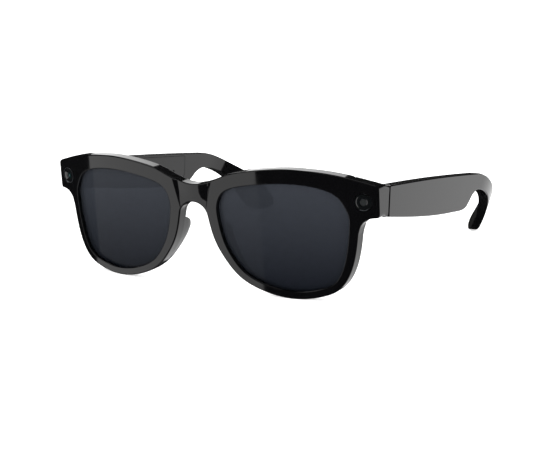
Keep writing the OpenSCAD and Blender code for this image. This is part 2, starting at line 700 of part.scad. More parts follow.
// Electronics in the left temple: the battery fills the bay from the switch to the speaker
room = 0.5;
cell_x = wall + 0.1;
cell_y = slot_b + 2;
module battery() color("#c7cacc") arm_frame() arm_box([cell_x, cell_y, arm_low(cell_y) + wall + 0.6],
    [cell_x + battery_t, speaker_y - room, -wall - 0.6]);
module charging_board() color("#1f5a3a") arm_frame() arm_box(
    [cell_x, bay_y + room, arm_low(bay_y) + wall + 0.6], [cell_x + board_t, cell_y - room, -wall - 0.6]);

// Electronics in the right temple: the main board runs from the hinge to the speaker
board_x = wall + 0.45;
board_y = bay_y + room;
board_end = speaker_y - room;
board_top = stem_z - button_travel - 0.9;
module main_board() color("#1f5a3a") mirror([1, 0, 0]) arm_frame() arm_box(
    [board_x, board_y, arm_low(board_y) + wall + 0.6], [board_x + board_t, board_end, board_top]);
module processor_shield() color("#b9bcc0") mirror([1, 0, 0]) arm_frame() arm_box(
    [board_x + board_t, board_y + 15, arm_low(board_y) + wall + 1.2],
    [board_x + board_t + 1.1, board_y + 28, board_top - 0.8]);
module touch_sensor() color("#7a4a1c") mirror([1, 0, 0]) arm_frame() arm_box(
    [wall + eps, board_y + 15, arm_low(board_y) + wall + 0.8],
    [wall + 0.4, board_end - 1, board_top - 0.2]);
module capture_switch() color("#9a9da1") mirror([1, 0, 0]) arm_frame() arm_box(
    [button_x - 1, button_y - 1.8, board_top + 0.05],
    [button_x + 1, button_y + 1.8, stem_z - button_travel - 0.02]);

on_surface() front_shell();
on_surface() rear_shell();
on_surface() lens_left();
on_surface() lens_right();
on_surface() nose_pad_left();
on_surface() nose_pad_right();
on_surface() camera_bezel();
on_surface() camera_window();
on_surface() camera_barrel();
on_surface() camera_module();
on_surface() indicator_bezel();
on_surface() indicator_window();
on_surface() indicator_light_pipe();
on_surface() indicator_board();
on_surface() charge_port();
on_surface() charge_contacts();
on_surface() bridge_microphone();
on_surface() front_flex();
on_surface() hinge_bracket_left();
on_surface() hinge_bracket_right();
on_surface() bracket_screws_left();
on_surface() bracket_screws_right();
on_surface() hinge_pin_left();
on_surface() hinge_pin_right();
on_surface() temple_shell_left();
on_surface() temple_cover_left();
on_surface() hinge_leaf_left();
on_surface() leaf_screws_left();
on_surface() battery();
on_surface() charging_board();
on_surface() speaker_left();
on_surface() speaker_grille_left();
on_surface() temple_microphone_left();
on_surface() tip_core_left();
on_surface() power_switch();
on_surface() power_slider();
on_surface() temple_shell_right();
on_surface() temple_cover_right();
on_surface() hinge_leaf_right();
on_surface() leaf_screws_right();
on_surface() main_board();
on_surface() processor_shield();
on_surface() touch_sensor();
on_surface() speaker_right();
on_surface() speaker_grille_right();
on_surface() temple_microphone_right();
on_surface() tip_core_right();
on_surface() capture_switch();
on_surface() capture_button();
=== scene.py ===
"""Smart glasses: a gloss black front with tinted lenses, a camera, an indicator and two temples."""

import math
from types import SimpleNamespace

import bmesh
import bpy
import numpy as np
from bpy.props import FloatProperty, FloatVectorProperty, PointerProperty
from mathutils import Matrix, Vector
from mathutils.geometry import delaunay_2d_cdt


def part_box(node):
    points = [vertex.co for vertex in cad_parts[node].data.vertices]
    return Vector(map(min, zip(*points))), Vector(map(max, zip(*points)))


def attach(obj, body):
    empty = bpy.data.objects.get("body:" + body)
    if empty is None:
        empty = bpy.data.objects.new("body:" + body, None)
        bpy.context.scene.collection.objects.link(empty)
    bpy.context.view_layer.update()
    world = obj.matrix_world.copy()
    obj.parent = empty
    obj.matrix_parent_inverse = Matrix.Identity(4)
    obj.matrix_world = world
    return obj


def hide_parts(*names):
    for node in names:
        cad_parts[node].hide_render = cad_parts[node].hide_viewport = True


bl_info = {
    "name": "Smart glasses",
    "version": (1, 0, 0),
    "blender": (4, 5, 0),
    "location": "View3D > Sidebar > Glasses",
    "description": "Builds smart glasses around their packed frame",
    "category": "Add Mesh",
}

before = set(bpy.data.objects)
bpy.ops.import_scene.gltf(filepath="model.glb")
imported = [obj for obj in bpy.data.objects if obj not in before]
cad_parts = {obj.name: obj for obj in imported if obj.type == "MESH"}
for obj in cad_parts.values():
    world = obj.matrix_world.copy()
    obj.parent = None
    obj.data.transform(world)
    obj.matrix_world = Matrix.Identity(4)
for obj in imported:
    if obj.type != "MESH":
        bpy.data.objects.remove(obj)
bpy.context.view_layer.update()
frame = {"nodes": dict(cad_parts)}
MM = 0.001


# ---- Sizes and colours that a user would change ----

def length(name, description, mm):
    """Property for a length that is given in millimetres and kept in metres."""
    return FloatProperty(name=name, description=description, default=mm * MM, unit="LENGTH", precision=5)


def linear(code):
    """Linear colour of an sRGB hex code such as 1a1b1c."""
    parts = [int(code[i:i + 2], 16) / 255 for i in (0, 2, 4)]
    return tuple(c / 12.92 if c <= 0.04045 else ((c + 0.055) / 1.055) ** 2.4 for c in parts)


def colour(name, description, code):
    return FloatVectorProperty(name=name, description=description, default=linear(code), subtype="COLOR",
                               size=3, min=0, max=1)


class FrontSizes(bpy.types.PropertyGroup):
    lens_w: length("Lens width", "Width of one lens opening", 51.5)
    lens_h: length("Lens height", "Height of one lens opening", 39.8)
    bridge_w: length("Bridge width", "Distance between the two lens openings", 21.6)
    lens_t: length("Lens thickness", "Thickness of a lens", 1.6)
    lens_lap: length("Lens lap", "How far a lens reaches under the rim's lip", 0.9)
    bow_r: length("Bow radius", "Radius that the front is bowed to", 282)
    rim_t: length("Front thickness", "Thickness of the front, shells together", 4.6)
    rear_t: length("Rear shell thickness", "Thickness of the rear shell", 1.25)
    lip_t: length("Lip thickness", "Thickness of the lip in front of a lens", 1.6)
    rim_top_w: length("Brow width", "Width of the rim above a lens", 5.4)
    rim_nose_w: length("Nose rim width", "Width of the rim beside the nose", 5.0)
    rim_bottom_w: length("Lower rim width", "Width of the rim below a lens", 2.9)
    rim_side_w: length("Side rim width", "Width of the rim on the temple's side", 3.3)
    bridge_drop: length("Bridge drop", "How far the bridge's top dips below the openings' top", 2.2)
    bridge_h: length("Bridge height", "Height of the bridge at its centre", 6.9)
    bridge_step: length("Bridge step", "How far the bridge's face lies behind the rims' faces", 0.9)
    arch_r: length("Arch radius", "Radius of the arch under the bridge", 6.8)
    end_w: length("End width", "Width of an end piece beyond the lens opening", 10.7)
    end_h: length("End height", "Height of an end piece", 11.4)
    end_depth: length("End depth", "Depth of an end piece back to the temple", 8.8)
    end_fillet_r: length("End fillet", "Radius of the curve under an end piece", 5.6)
    pod_w: length("End block width", "Width of an end piece's block behind the front", 9.6)
    eye_r: length("Window ring radius", "Outer radius of the ring around a round window", 3.3)
    eye_w: length("Window ring width", "Width of the ring around a round window", 0.5)
    pad_len: length("Pad height", "Height of a nose pad", 21)
    pad_t: length("Pad thickness", "Thickness of a nose pad", 2.6)
    pad_depth: length("Pad depth", "How far a nose pad stands behind the front", 6.2)
    bevel: length("Front bevel", "Radius of the front's polished edges", 0.55)


class TempleSizes(bpy.types.PropertyGroup):
    bend_len: length("Length to the bend", "Length of a temple from the gap to its bend", 86)
    hook_len: length("Hook length", "Length of the ear hook beyond the bend", 38.6)
    hook_drop: length("Hook drop", "Drop of the ear hook", 27.5)
    butt_h: length("Butt height", "Height of a temple at the hinge", 11.2)
    arm_h: length("Temple height", "Height of a temple's widest part", 14.2)
    arm_t: length("Temple thickness", "Thickness of a temple", 4.8)
    wall: length("Wall", "Thickness of a temple's walls", 1.2)
    cover_t: length("Cover thickness", "Thickness of a temple's inner cover", 1.0)
    hook_bend_r: length("Hook bend radius", "Radius that an ear hook is bent to", 60)
    gap: length("Gap", "Width of the gap between end piece and temple", 0.3)
    knuckle_r: length("Knuckle radius", "Outer radius of a hinge's knuckles", 1.6)
    button_l: length("Button length", "Length of the capture button", 10)
    button_w: length("Button width", "Width of the capture button", 2.4)
    button_up: length("Button height", "How far the capture button stands proud", 1.2)
    slider_l: length("Slider length", "Length of the power switch's slider", 5)
    slider_travel: length("Slider travel", "Travel of the power switch", 2)
    speaker_l: length("Speaker length", "Length of a speaker", 12)
    bevel: length("Temple bevel", "Radius of a temple's polished edges", 0.55)


class Colours(bpy.types.PropertyGroup):
    frame: colour("Frame", "Polished black of the front and temples", "030304")
    inner: colour("Covers", "Satin black of the covers", "101012")
    # The lens's top and bottom colours hold painted light: its own blue-grey tint, paler at the top and
    # darker at the bottom
    lens_top: colour("Lens, top", "Tint of a lens at its top", "36393f")
    lens_bottom: colour("Lens, bottom", "Tint of a lens at its bottom", "15181e")
    ring: colour("Rings", "Anodised rings round the windows", "75787c")


# How the temples fall, turn inwards and bend
DROOP = math.radians(8.9)
TOE_IN = math.radians(1.0)
BEND_TILT = math.radians(37)
# Clearances in millimetres: between pieces that are fixed, and round pieces that move
FIT = 0.05
FREE = 0.15
# Places along a temple, in millimetres behind the gap
BUTTON_Y = 19
SLIDER_Y = 19.2
MICROPHONE_Y = 13.2
# Longest edge of a small outline, least distance between its points, and distance at which points are one
LONGEST_EDGE = 0.5
LEAST_EDGE = 1e-3
SAME_POINT = 1e-5
# A triangle is left out as a sliver under this share of its longest edge squared
SLIVER = 1e-4
# Width of a crease's ramp at its foot, and how much wider it is at its top
CREASE_RAMP = (0.25, 2.2)
# Shares of the way from the front shell's back to the gap at which an end block has a row of points
POD_LEVELS = (0, 0.06, 0.15, 0.28, 0.42, 0.58, 0.74, 0.88, 0.96, 1.0)
# How far each ring of the front's bevel follows the set-back of the bridge's face
BEVEL_SHARES = (1.0, 0.97, 0.88, 0.72, 0.5, 0.25)
SIDES = (("left", False), ("right", True))
# Lens opening as shares of its half width and half height, from the temple's side under the lens
OPENING = [
    (1.00, 0.33), (0.93, -0.35), (0.78, -0.77), (0.51, -0.94), (0.14, -1.00), (-0.25, -0.92),
    (-0.62, -0.69), (-0.88, -0.24), (-0.99, 0.28), (-0.98, 0.59), (-0.84, 0.81), (-0.49, 0.93),
    (0.06, 1.00), (0.52, 0.96), (0.81, 0.83), (0.95, 0.60),
]
# Ear hook as shares of its length and drop, from the bend round the tip to the notch
HOOK = [
    (0.00, 0.00), (0.21, -0.06), (0.47, -0.19), (0.73, -0.36), (0.91, -0.56), (1.00, -0.78),
    (0.97, -0.93), (0.84, -1.00), (0.71, -0.96), (0.64, -0.81), (0.57, -0.62), (0.385, -0.41),
    (0.18, -0.29), (-0.03, -0.245),
]


def in_mm(group):
    """A property group's lengths in millimetres."""
    names = [p.identifier for p in group.bl_rna.properties if p.type == "FLOAT"]
    return {n: getattr(group, n) / MM for n in names}


def sizes():
    """All sizes in millimetres, with what follows from them."""
    s = SimpleNamespace(**in_mm(bpy.context.scene.glasses_temple))
    s.arm_bevel = s.bevel
    s.__dict__.update(in_mm(bpy.context.scene.glasses_front))
    s.lens_cx = s.bridge_w / 2 + s.lens_w / 2
    s.half = s.bridge_w / 2 + s.lens_w + s.end_w
    s.end_top = s.lens_h / 2 + 0.2
    s.end_low = s.end_top - s.end_h
    s.shell_back = s.rim_t - s.rear_t
    s.bridge_top = s.lens_h / 2 - s.bridge_drop
    s.brow_x = s.lens_cx + s.lens_w / 6
    s.brow_rise = s.lens_h / 2 + s.rim_top_w - 0.25 - s.end_top
    s.eye_x = s.half - s.end_w / 2 - 0.15
    s.eye_z = s.end_top - s.end_h / 2
    s.eye_turn = math.asin(s.eye_x / s.bow_r)
    s.arm_y = bow(s, s.half, 0) + s.end_depth
    s.arm_z = s.end_top - s.end_depth * math.tan(DROOP)
    s.pin_x = s.arm_t + s.knuckle_r + 0.2
    s.pin_y = -s.gap / 2
    s.step_y = s.bend_len - 19
    s.pod_x = s.half - s.pod_w
    s.pod_z = s.end_low - 0.6
    return s


def bow(s, x, depth):
    """How far back the bowed front lies at x, at a depth behind its face."""
    return s.bow_r - np.sqrt((s.bow_r - depth) ** 2 - x * x)


# ---- Frames: the front's, the temples' and the windows' ----

def surface_frame():
    """Front frame to row frame, in millimetres: the corner that packs lowest gives its place."""
    s = sizes()
    tip_s = s.bend_len + 0.84 * s.hook_len
    tip_z = s.arm_z - tip_s * math.sin(DROOP) - s.hook_drop * math.cos(DROOP)
    rim_low = -s.lens_h / 2 - s.rim_bottom_w
    tip_y = s.arm_y + tip_s * math.cos(DROOP) - s.hook_drop * math.sin(DROOP)
    rim_y = bow(s, s.lens_cx, 0)
    pitch = math.atan2(rim_low - tip_z, tip_y - rim_y)
    floor_z = rim_low * math.cos(pitch) + rim_y * math.sin(pitch)
    back_s = s.bend_len + s.hook_len
    middle_y = (s.arm_y + back_s * math.cos(DROOP) - 0.78 * s.hook_drop * math.sin(DROOP) + 0.6) / 2
    return Matrix.Translation((0, -middle_y, -floor_z)) @ Matrix.Rotation(pitch, 4, "X")


def gap_matrix(s):
    """Frame of the gap's plane: the outer top edge where a temple begins."""
    return surface_frame() @ Matrix.Translation((s.half, s.arm_y, s.arm_z)) @ Matrix.Rotation(-DROOP, 4, "X")


def arm_matrix(s):
    return (gap_matrix(s) @ Matrix.Translation((-s.pin_x, s.pin_y, 0)) @ Matrix.Rotation(TOE_IN, 4, "Z")
            @ Matrix.Translation((s.pin_x, -s.pin_y, 0)))


def eye_matrix(s):
    turn = Matrix.Rotation(s.eye_turn, 4, "Z")
    place = Matrix.Translation((s.eye_x, bow(s, s.eye_x, 0), s.eye_z))
    return surface_frame() @ place @ turn @ Matrix.Rotation(-math.pi / 2, 4, "X")


def through(matrix, points):
    m = np.array(matrix)
    return points @ m[:3, :3].T + m[:3, 3]


# ---- Outlines ----

def knot(a, b, c, d, t):
    """A point from b to c on a smooth curve through four points."""
    squared, cubed = 2 * a - 5 * b + 4 * c - d, 3 * b - a - 3 * c + d
    return ((2 * b) + (c - a) * t + squared * t ** 2 + cubed * t ** 3) / 2


def ring_curve(points, n):
    p = np.array(points, float)
    m = len(p)
    return np.array([knot(p[i - 1], p[i], p[(i + 1) % m], p[(i + 2) % m], k / n)
                     for i in range(m) for k in range(n)])


def open_curve(points, n):
    p = np.array(points, float)
    m = len(p)
    out = [knot(p[max(i - 1, 0)], p[i], p[i + 1], p[min(i + 2, m - 1)], k / n)
           for i in range(m - 1) for k in range(n)]
    return np.array(out + [p[-1]])


def sides(loop):
    """Unit normals on the right of a closed loop's direction."""
    d = np.roll(loop, -1, 0) - np.roll(loop, 1, 0)
    d /= np.linalg.norm(d, axis=1)[:, None]
    return np.column_stack([d[:, 1], -d[:, 0]])


def spaced(loop, step):
    """A closed loop's points at an even spacing."""
    closed = np.vstack([loop, loop[:1]])
    along = np.concatenate([[0], np.cumsum(np.linalg.norm(np.diff(closed, axis=0), axis=1))])
    n = max(8, int(round(along[-1] / step)))
    at = np.linspace(0, along[-1], n, endpoint=False)
    return np.column_stack([np.interp(at, along, closed[:, k]) for k in (0, 1)])


def softened(loop, times):
    for _ in range(times):
        loop = loop / 2 + np.roll(loop, 1, 0) / 4 + np.roll(loop, -1, 0) / 4
    return loop


def inside(points, loop):
    """Which points lie inside a closed loop."""
    x, y = points[:, 0:1], points[:, 1:2]
    a, b = loop, np.roll(loop, -1, 0)
    crosses = (a[:, 1] > y) != (b[:, 1] > y)
    with np.errstate(divide="ignore", invalid="ignore"):
        at = a[:, 0] + (y - a[:, 1]) * (b[:, 0] - a[:, 0]) / (b[:, 1] - a[:, 1])
    return (np.sum(crosses & (x < at), axis=1) % 2) == 1


def triangulated(points, edges):
    """Constrained triangles, anticlockwise, with the given points that each corner came from."""
    v, _, f, origin, _, _ = delaunay_2d_cdt([Vector(p) for p in points], edges, [], 0, SAME_POINT)
    v = np.array([tuple(p) for p in v])
    f = np.array([tuple(t) for t in f])
    p, q, r = v[f[:, 0]], v[f[:, 1]], v[f[:, 2]]
    area = (q[:, 0] - p[:, 0]) * (r[:, 1] - p[:, 1]) - (q[:, 1] - p[:, 1]) * (r[:, 0] - p[:, 0])
    f[area < 0] = f[area < 0][:, ::-1]
    longest = np.max([np.sum((p - q) ** 2, 1), np.sum((q - r) ** 2, 1), np.sum((r - p) ** 2, 1)], axis=0)
    return v, f[np.abs(area) > SLIVER * longest], origin


def loop_edges(lengths):
    edges, start = [], 0
    for n in lengths:
        edges += [(start + i, start + (i + 1) % n) for i in range(n)]
        start += n
    return edges


def joined(loops, keep):
    """Outlines of the area that keep() says is solid; solid lies on the left of each outline."""
    v, f, _ = triangulated(np.vstack(loops), loop_edges([len(p) for p in loops]))
    f = f[keep(v[f].mean(axis=1))]
    nexts = {}
    edges = {(int(t[k]), int(t[(k + 1) % 3])) for t in f for k in range(3)}
    for a, b in edges:
        if (b, a) not in edges:
            nexts[a] = b
    found = []
    while nexts:
        start = next(iter(nexts))
        loop, at = [], start
        while at in nexts:
            loop.append(at)
            at = nexts.pop(at)
        found.append(v[loop])
    return sorted(found, key=lambda p: -len(p))


def opening_loop(s, out=0.0, n=14):
    """A lens opening, clockwise from the temple's side, on the wearer's left."""
    base = ring_curve([(p[0] * s.lens_w / 2, p[1] * s.lens_h / 2) for p in OPENING], n)
    return base - sides(base) * out


def rim_width(s, angle):
    stops = [-180, -145, -110, -35, 0, 45, 80, 150, 180]
    widths = [s.rim_nose_w, s.rim_bottom_w + 0.4, s.rim_bottom_w, s.rim_bottom_w, s.rim_side_w,
              (s.rim_side_w + s.rim_top_w) / 2, s.rim_top_w, s.rim_top_w, s.rim_nose_w]
    return np.interp(angle, stops, widths)


def rim_loop(s):
    base = opening_loop(s)
    out = -sides(base)
    width = rim_width(s, np.degrees(np.arctan2(out[:, 1], out[:, 0])))
    return base + out * softened(width[:, None], 12)


def brow_line(s, x):
    t = np.clip((s.half - x) / (s.half - s.brow_x), 0, 1)
    return s.end_top + s.brow_rise * (1 - (1 - t) ** 1.75)


def end_loop(s):
    r = s.end_fillet_r
    cx = s.lens_cx + s.lens_w / 2 + s.rim_side_w + r
    xs = np.linspace(s.half, s.brow_x, 30)
    top = np.column_stack([xs, brow_line(s, xs)])
    mid = [(s.brow_x, s.lens_h / 2 - 2), (s.lens_cx + 0.45 * s.lens_w, 0.2 * s.lens_h)]
    turns = np.radians(np.linspace(180, 90, 16))
    fillet = np.column_stack([cx + r * np.cos(turns), s.end_low - r + r * np.sin(turns)])
    return np.vstack([top, mid, fillet, [(s.half, s.end_low)]])


def bridge_loop(s):
    xs = np.linspace(-s.bridge_w, s.bridge_w, 61)
    zs = s.bridge_top + (s.rim_top_w - 0.1) * np.sin(np.pi / 2 * np.abs(xs) / s.bridge_w) ** 2
    foot_x = s.bridge_w / 2 - s.rim_nose_w / 2
    foot_z = s.bridge_top - s.bridge_h - 3.2
    return np.vstack([np.column_stack([xs, zs]), [(foot_x, foot_z), (-foot_x, foot_z)]])


def at_places(s, loop):
    left = loop + [s.lens_cx, 0]
    return [left, left * [-1, 1]]


def lens_openings(s):
    """The two lens openings as holes, clockwise."""
    left, right = at_places(s, softened(spaced(opening_loop(s), 0.6), 2))
    return [left, right[::-1]]


def front_outline(s):
    """The front's outer outline, evenly spaced and with softened corners."""
    turns = np.linspace(0, 2 * np.pi, 90, endpoint=False)
    arch_z = s.bridge_top - s.bridge_h - s.arch_r
    arch = np.column_stack([s.arch_r * np.cos(turns), arch_z + s.arch_r * np.sin(turns)])
    rims, ends, bridge = at_places(s, rim_loop(s)), [end_loop(s), end_loop(s) * [-1, 1]], bridge_loop(s)

    def solid(points):
        rim = inside(points, rims[0]) | inside(points, rims[1])
        end = inside(points, ends[0]) | inside(points, ends[1])
        return rim | end | (inside(points, bridge) & ~inside(points, arch))
    return softened(spaced(joined(rims + ends + [bridge, arch], solid)[0], 0.5), 5)


# ---- Skins: closed surfaces with a normal at each face corner ----

def arc(radius, level, first, last, steps=5):
    """Profile points round a polished edge: angle 0 faces the front, 90 the side and 180 the back."""
    points = []
    for k in range(steps + 1):
        a = math.radians(first + (last - first) * k / steps)
        points.append((radius * (1 - math.sin(a)), level - radius * math.cos(a), math.degrees(a)))
    return points


class Skin:
    """A closed surface in flat space: points (a, b, depth), the solid's face towards -depth."""

    def __init__(self):
        self.points, self.faces, self.normals = [], [], []

    def add(self, points):
        start = len(self.points)
        self.points.extend(map(tuple, points))
        return list(range(start, len(self.points)))

    def strip(self, a, b, na, nb):
        for i in range(len(a)):
            j = (i + 1) % len(a)
            self.faces.append((a[i], b[i], b[j], a[j]))
            self.normals += [na[i], nb[i], nb[j], na[j]]

    def wall(self, loop, profile):
        """Sweeps runs of (inset, depth, angle) along a loop and gives its first and last rings."""
        out, ring, start = sides(loop), None, None
        forwards = profile[0][0][1] <= profile[-1][-1][1]
        for run in profile:
            previous = None
            for inset, depth, angle in run:
                a = math.radians(angle)
                normal = np.column_stack([out * math.sin(a), np.full(len(out), -math.cos(a))])
                points = np.column_stack([loop - out * inset, np.full(len(out), depth)])
                if ring is None:
                    ring = start = self.add(points)
                elif previous is not None:
                    new = self.add(points)
                    if forwards:
                        self.strip(ring, new, previous, normal)
                    else:
                        self.strip(new, ring, normal, previous)
                    ring = new
                previous = normal
        return start, ring

    def cap(self, rings, keep=None, grid=2.0, back=False, depth=None, slope=None, lines=()):
        """Fills the area between rings, and where keep() says so, with a grid of points in it."""
        ids = [i for r in rings for i in r] + [i for line in lines for i in line]
        flat = np.array([self.points[i] for i in ids])
        edges, start = loop_edges([len(r) for r in rings]), sum(len(r) for r in rings)
        for line in lines:
            edges += [(start + k, start + k + 1) for k in range(len(line) - 1)]
            start += len(line)
        low, high = flat[:, :2].min(0), flat[:, :2].max(0)
        xs, zs = (np.arange(low[k] + grid / 2, high[k], grid) for k in (0, 1))
        mesh = np.array([(x, z) for x in xs for z in zs]).reshape(-1, 2)
        if len(mesh):
            away = np.array([np.min(np.sum((flat[:, :2] - p) ** 2, axis=1)) for p in mesh])
            mesh = mesh[(away > (0.35 * grid) ** 2)]
        v, f, origin = triangulated(np.vstack([flat[:, :2], mesh]), edges)
        middles = v[f].mean(axis=1)
        solid = np.zeros(len(f), bool)
        for ring in rings:
            solid ^= inside(middles, np.array([self.points[i][:2] for i in ring]))
        f = f[solid & keep(middles)] if keep else f[solid]
        level = flat[0, 2]
        index = {}
        for corner in np.unique(f):
            known = [o for o in origin[corner] if o < len(ids)]
            if known:
                index[corner] = ids[known[0]]
            else:
                z = depth(v[corner][None])[0] if depth else level
                index[corner] = self.add([(v[corner][0], v[corner][1], z)])[0]
        for t in f:
            t = t[::-1] if back else t
            self.faces.append(tuple(index[c] for c in t))
            middle = v[t].mean(axis=0)
            for c in t:
                self.normals.append(slope(v[c], middle) if slope else (0, 0, 1 if back else -1))

    def grid(self, rows):
        """Adds smooth quads over rows of points."""
        rows = np.array(rows, float)
        along = np.roll(rows, -1, 1) - np.roll(rows, 1, 1)
        across = np.gradient(rows, axis=0)
        n = np.cross(along, across)
        n /= np.maximum(np.linalg.norm(n, axis=2), 1e-9)[:, :, None]
        ids = [self.add(r) for r in rows]
        for k in range(len(rows) - 1):
            self.strip(ids[k], ids[k + 1], n[k], n[k + 1])
        return ids

    def build(self, name, place, mirrored=False):
        """Makes the mesh object: place() takes flat points to the row frame, in millimetres."""
        flat = np.array([tuple(map(float, p)) for p in self.points])
        corners = np.array([i for f in self.faces for i in f])
        at, h = flat[corners], 1e-3
        ja, jb, jl = ((place(at + h * e) - place(at - h * e)) / (2 * h) for e in np.eye(3))
        n = np.array([tuple(map(float, v)) for v in self.normals])
        world = np.cross(jb, jl) * n[:, :1] + np.cross(jl, ja) * n[:, 1:2] + np.cross(ja, jb) * n[:, 2:]
        world *= np.sign(np.sum(ja * np.cross(jb, jl), axis=1))[:, None]
        world /= np.maximum(np.linalg.norm(world, axis=1), 1e-12)[:, None]
        points, faces = place(flat) * MM, [tuple(f) for f in self.faces]
        if mirrored:
            points, world = points * [-1, 1, 1], world * [-1, 1, 1]
            turned, start = [], 0
            for f in faces:
                turned.append(world[start:start + len(f)][::-1])
                start += len(f)
            faces, world = [f[::-1] for f in faces], np.vstack(turned)
        mesh = bpy.data.meshes.new(name)
        mesh.from_pydata(points.tolist(), [], faces)
        mesh.polygons.foreach_set("use_smooth", [True] * len(faces))
        mesh.normals_split_custom_set(world.tolist())
        return linked(name, mesh)


def sided(stem, mirrored):
    return stem + ("_right_visual" if mirrored else "_left_visual")


def linked(name, mesh):
    piece = bpy.data.objects.new(name, mesh)
    bpy.context.scene.collection.objects.link(piece)
    return piece


def mounted(piece, body, slot, material, *nodes):
    """Gives a finished piece its material and its body, and hides the nodes that it stands for."""
    piece.data.materials.clear()
    piece.data.materials.append(material)
    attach(piece, body)
    if nodes:
        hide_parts(*nodes)
    return piece


def turned_piece(name, runs, matrix, mirrored=False, segments=72):
    """A piece turned on a lathe: runs of (radius, depth) from its front axis round to its back axis."""
    verts, faces, rings = [], [], []
    for radius, depth in runs:
        if radius < 1e-6:
            verts.append((0, 0, depth))
            rings.append([len(verts) - 1] * segments)
            continue
        start = len(verts)
        for k in range(segments):
            a = 2 * math.pi * k / segments
            verts.append((radius * math.cos(a), radius * math.sin(a), depth))
        rings.append(list(range(start, start + segments)))
    closed = runs[0][0] > 1e-6
    for k in range(len(rings) - (0 if closed else 1)):
        a, b = rings[k], rings[(k + 1) % len(rings)]
        for i in range(segments):
            j = (i + 1) % segments
            face = [a[i], a[j], b[j], b[i]]
            face = [c for n, c in enumerate(face) if c != face[n - 1]]
            faces.append(face)
    points = through(matrix, np.array(verts, float)) * MM
    if mirrored:
        points = points * [-1, 1, 1]
    mesh = bpy.data.meshes.new(name)
    mesh.from_pydata(points.tolist(), [], faces)
    faced_outwards(mesh)
    mesh.polygons.foreach_set("use_smooth", [True] * len(faces))
    mesh.set_sharp_from_angle(angle=math.radians(40))
    return linked(name, mesh)


def faced_outwards(mesh):
    """Turns a closed mesh's faces outwards."""
    shape = bmesh.new()
    shape.from_mesh(mesh)
    if shape.calc_volume(signed=True) < 0:
        bmesh.ops.reverse_faces(shape, faces=shape.faces)
    shape.to_mesh(mesh)
    shape.free()


# ---- Materials ----

def add_node(tree, kind, values=None, links=None, **settings):
    """Adds a node with its settings, its sockets' values and its links."""
    new = tree.nodes.new(kind)
    for key, value in settings.items():
        setattr(new, key, value)
    for key, value in (values or {}).items():
        new.inputs[key].default_value = value
    for key, source in (links or {}).items():
        tree.links.new(source, new.inputs[key])
    return new


def surface(name, base, second, rough, grain_mm, bump_mm=0.0, **sockets):
    """A material whose colour, roughness and relief vary with a grain of a real size."""
    found = bpy.data.materials.get(name)
    if found:
        return found
    material = bpy.data.materials.new(name)
    material.use_nodes = True
    tree = material.node_tree
    tree.nodes.clear()
    where = add_node(tree, "ShaderNodeTexCoord").outputs["Object"]
    noise = add_node(tree, "ShaderNodeTexNoise", {"Scale": 1 / (grain_mm * MM), "Detail": 3.0},
                     {"Vector": where})
    grain = noise.outputs["Fac"]
    tint = add_node(tree, "ShaderNodeMix", {6: (*base, 1), 7: (*second, 1)}, {0: grain}, data_type="RGBA")
    gloss = add_node(tree, "ShaderNodeMapRange", {"From Min": 0.3, "From Max": 0.7, "To Min": rough[0],
                     "To Max": rough[1]}, {"Value": grain})
    links = {"Base Color": tint.outputs[2], "Roughness": gloss.outputs["Result"]}
    if bump_mm:
        relief = add_node(tree, "ShaderNodeBump", {"Strength": 1.0, "Distance": bump_mm * MM},
                          {"Height": grain})
        links["Normal"] = relief.outputs["Normal"]
    shader = add_node(tree, "ShaderNodeBsdfPrincipled", sockets, links)
    add_node(tree, "ShaderNodeOutputMaterial", links={"Surface": shader.outputs["BSDF"]})
    return material


def colours():
    return bpy.context.scene.glasses_colours


def polished_nylon():
    """Injection-moulded nylon polished by tumbling: black, with sharp reflections."""
    c = tuple(colours().frame)
    return surface("polished_nylon", c, linear("060607"), (0.03, 0.055), 6.0, **{"IOR": 1.5})


def satin_nylon():
    """The same nylon as it leaves a spark-eroded mould: fine grain and a dull sheen."""
    c = tuple(colours().inner)
    return surface("satin_nylon", c, linear("1a1a1d"), (0.3, 0.42), 0.35, 0.006, **{"IOR": 1.5})


def anodised_aluminium():
    """Turned and anodised aluminium: a grey metal with a fine grain."""
    return surface("anodised_aluminium", tuple(colours().ring), linear("55585c"), (0.25, 0.38), 0.15, 0.001,
                   **{"Metallic": 1.0})


def stainless_steel():
    """Stamped stainless steel: a bright metal with a rolled grain."""
    return surface("stainless_steel", linear("a3a6a9"), linear("8d9093"), (0.22, 0.36), 0.2, 0.001,
                   **{"Metallic": 1.0})


def gold_plating():
    """Gold plated over nickel on brass contacts: warm, with polished wear spots."""
    return surface("gold_plating", linear("d8b25c"), linear("b8903c"), (0.15, 0.3), 0.1, **{"Metallic": 1.0})


def tin_plate():
    """Tinned steel can: pale, slightly mottled metal."""
    return surface("tin_plate", linear("b9bcc0"), linear("9c9fa4"), (0.3, 0.45), 0.3, **{"Metallic": 1.0})


def cell_pouch():
    """Aluminium-laminate pouch of a battery cell: satin metal with faint creases."""
    return surface("cell_pouch", linear("c2c5c8"), linear("adb0b4"), (0.35, 0.5), 1.5, 0.05,
                   **{"Metallic": 1.0})


def solder_mask():
    """Green solder mask over copper: a satin lacquer."""
    return surface("solder_mask", linear("1c5236"), linear("27664a"), (0.3, 0.42), 0.4, **{"IOR": 1.5})


def polyimide_film():
    """Amber polyimide film of a flexible circuit, with its copper showing through."""
    return surface("polyimide_film", linear("7a4a1c"), linear("925f28"), (0.25, 0.35), 0.5, **{"IOR": 1.7})


def sensor_alloy():
    """Bead-blasted zinc alloy housing of a camera module."""
    return surface("blasted_zinc", linear("4a4d52"), linear("5c5f64"), (0.4, 0.55), 0.2, 0.004,
                   **{"Metallic": 1.0})


def barrel_black():
    """Matt black paint inside a lens barrel."""
    return surface("matt_black_paint", linear("08090a"), linear("0e0f11"), (0.35, 0.5), 0.3, 0.003)


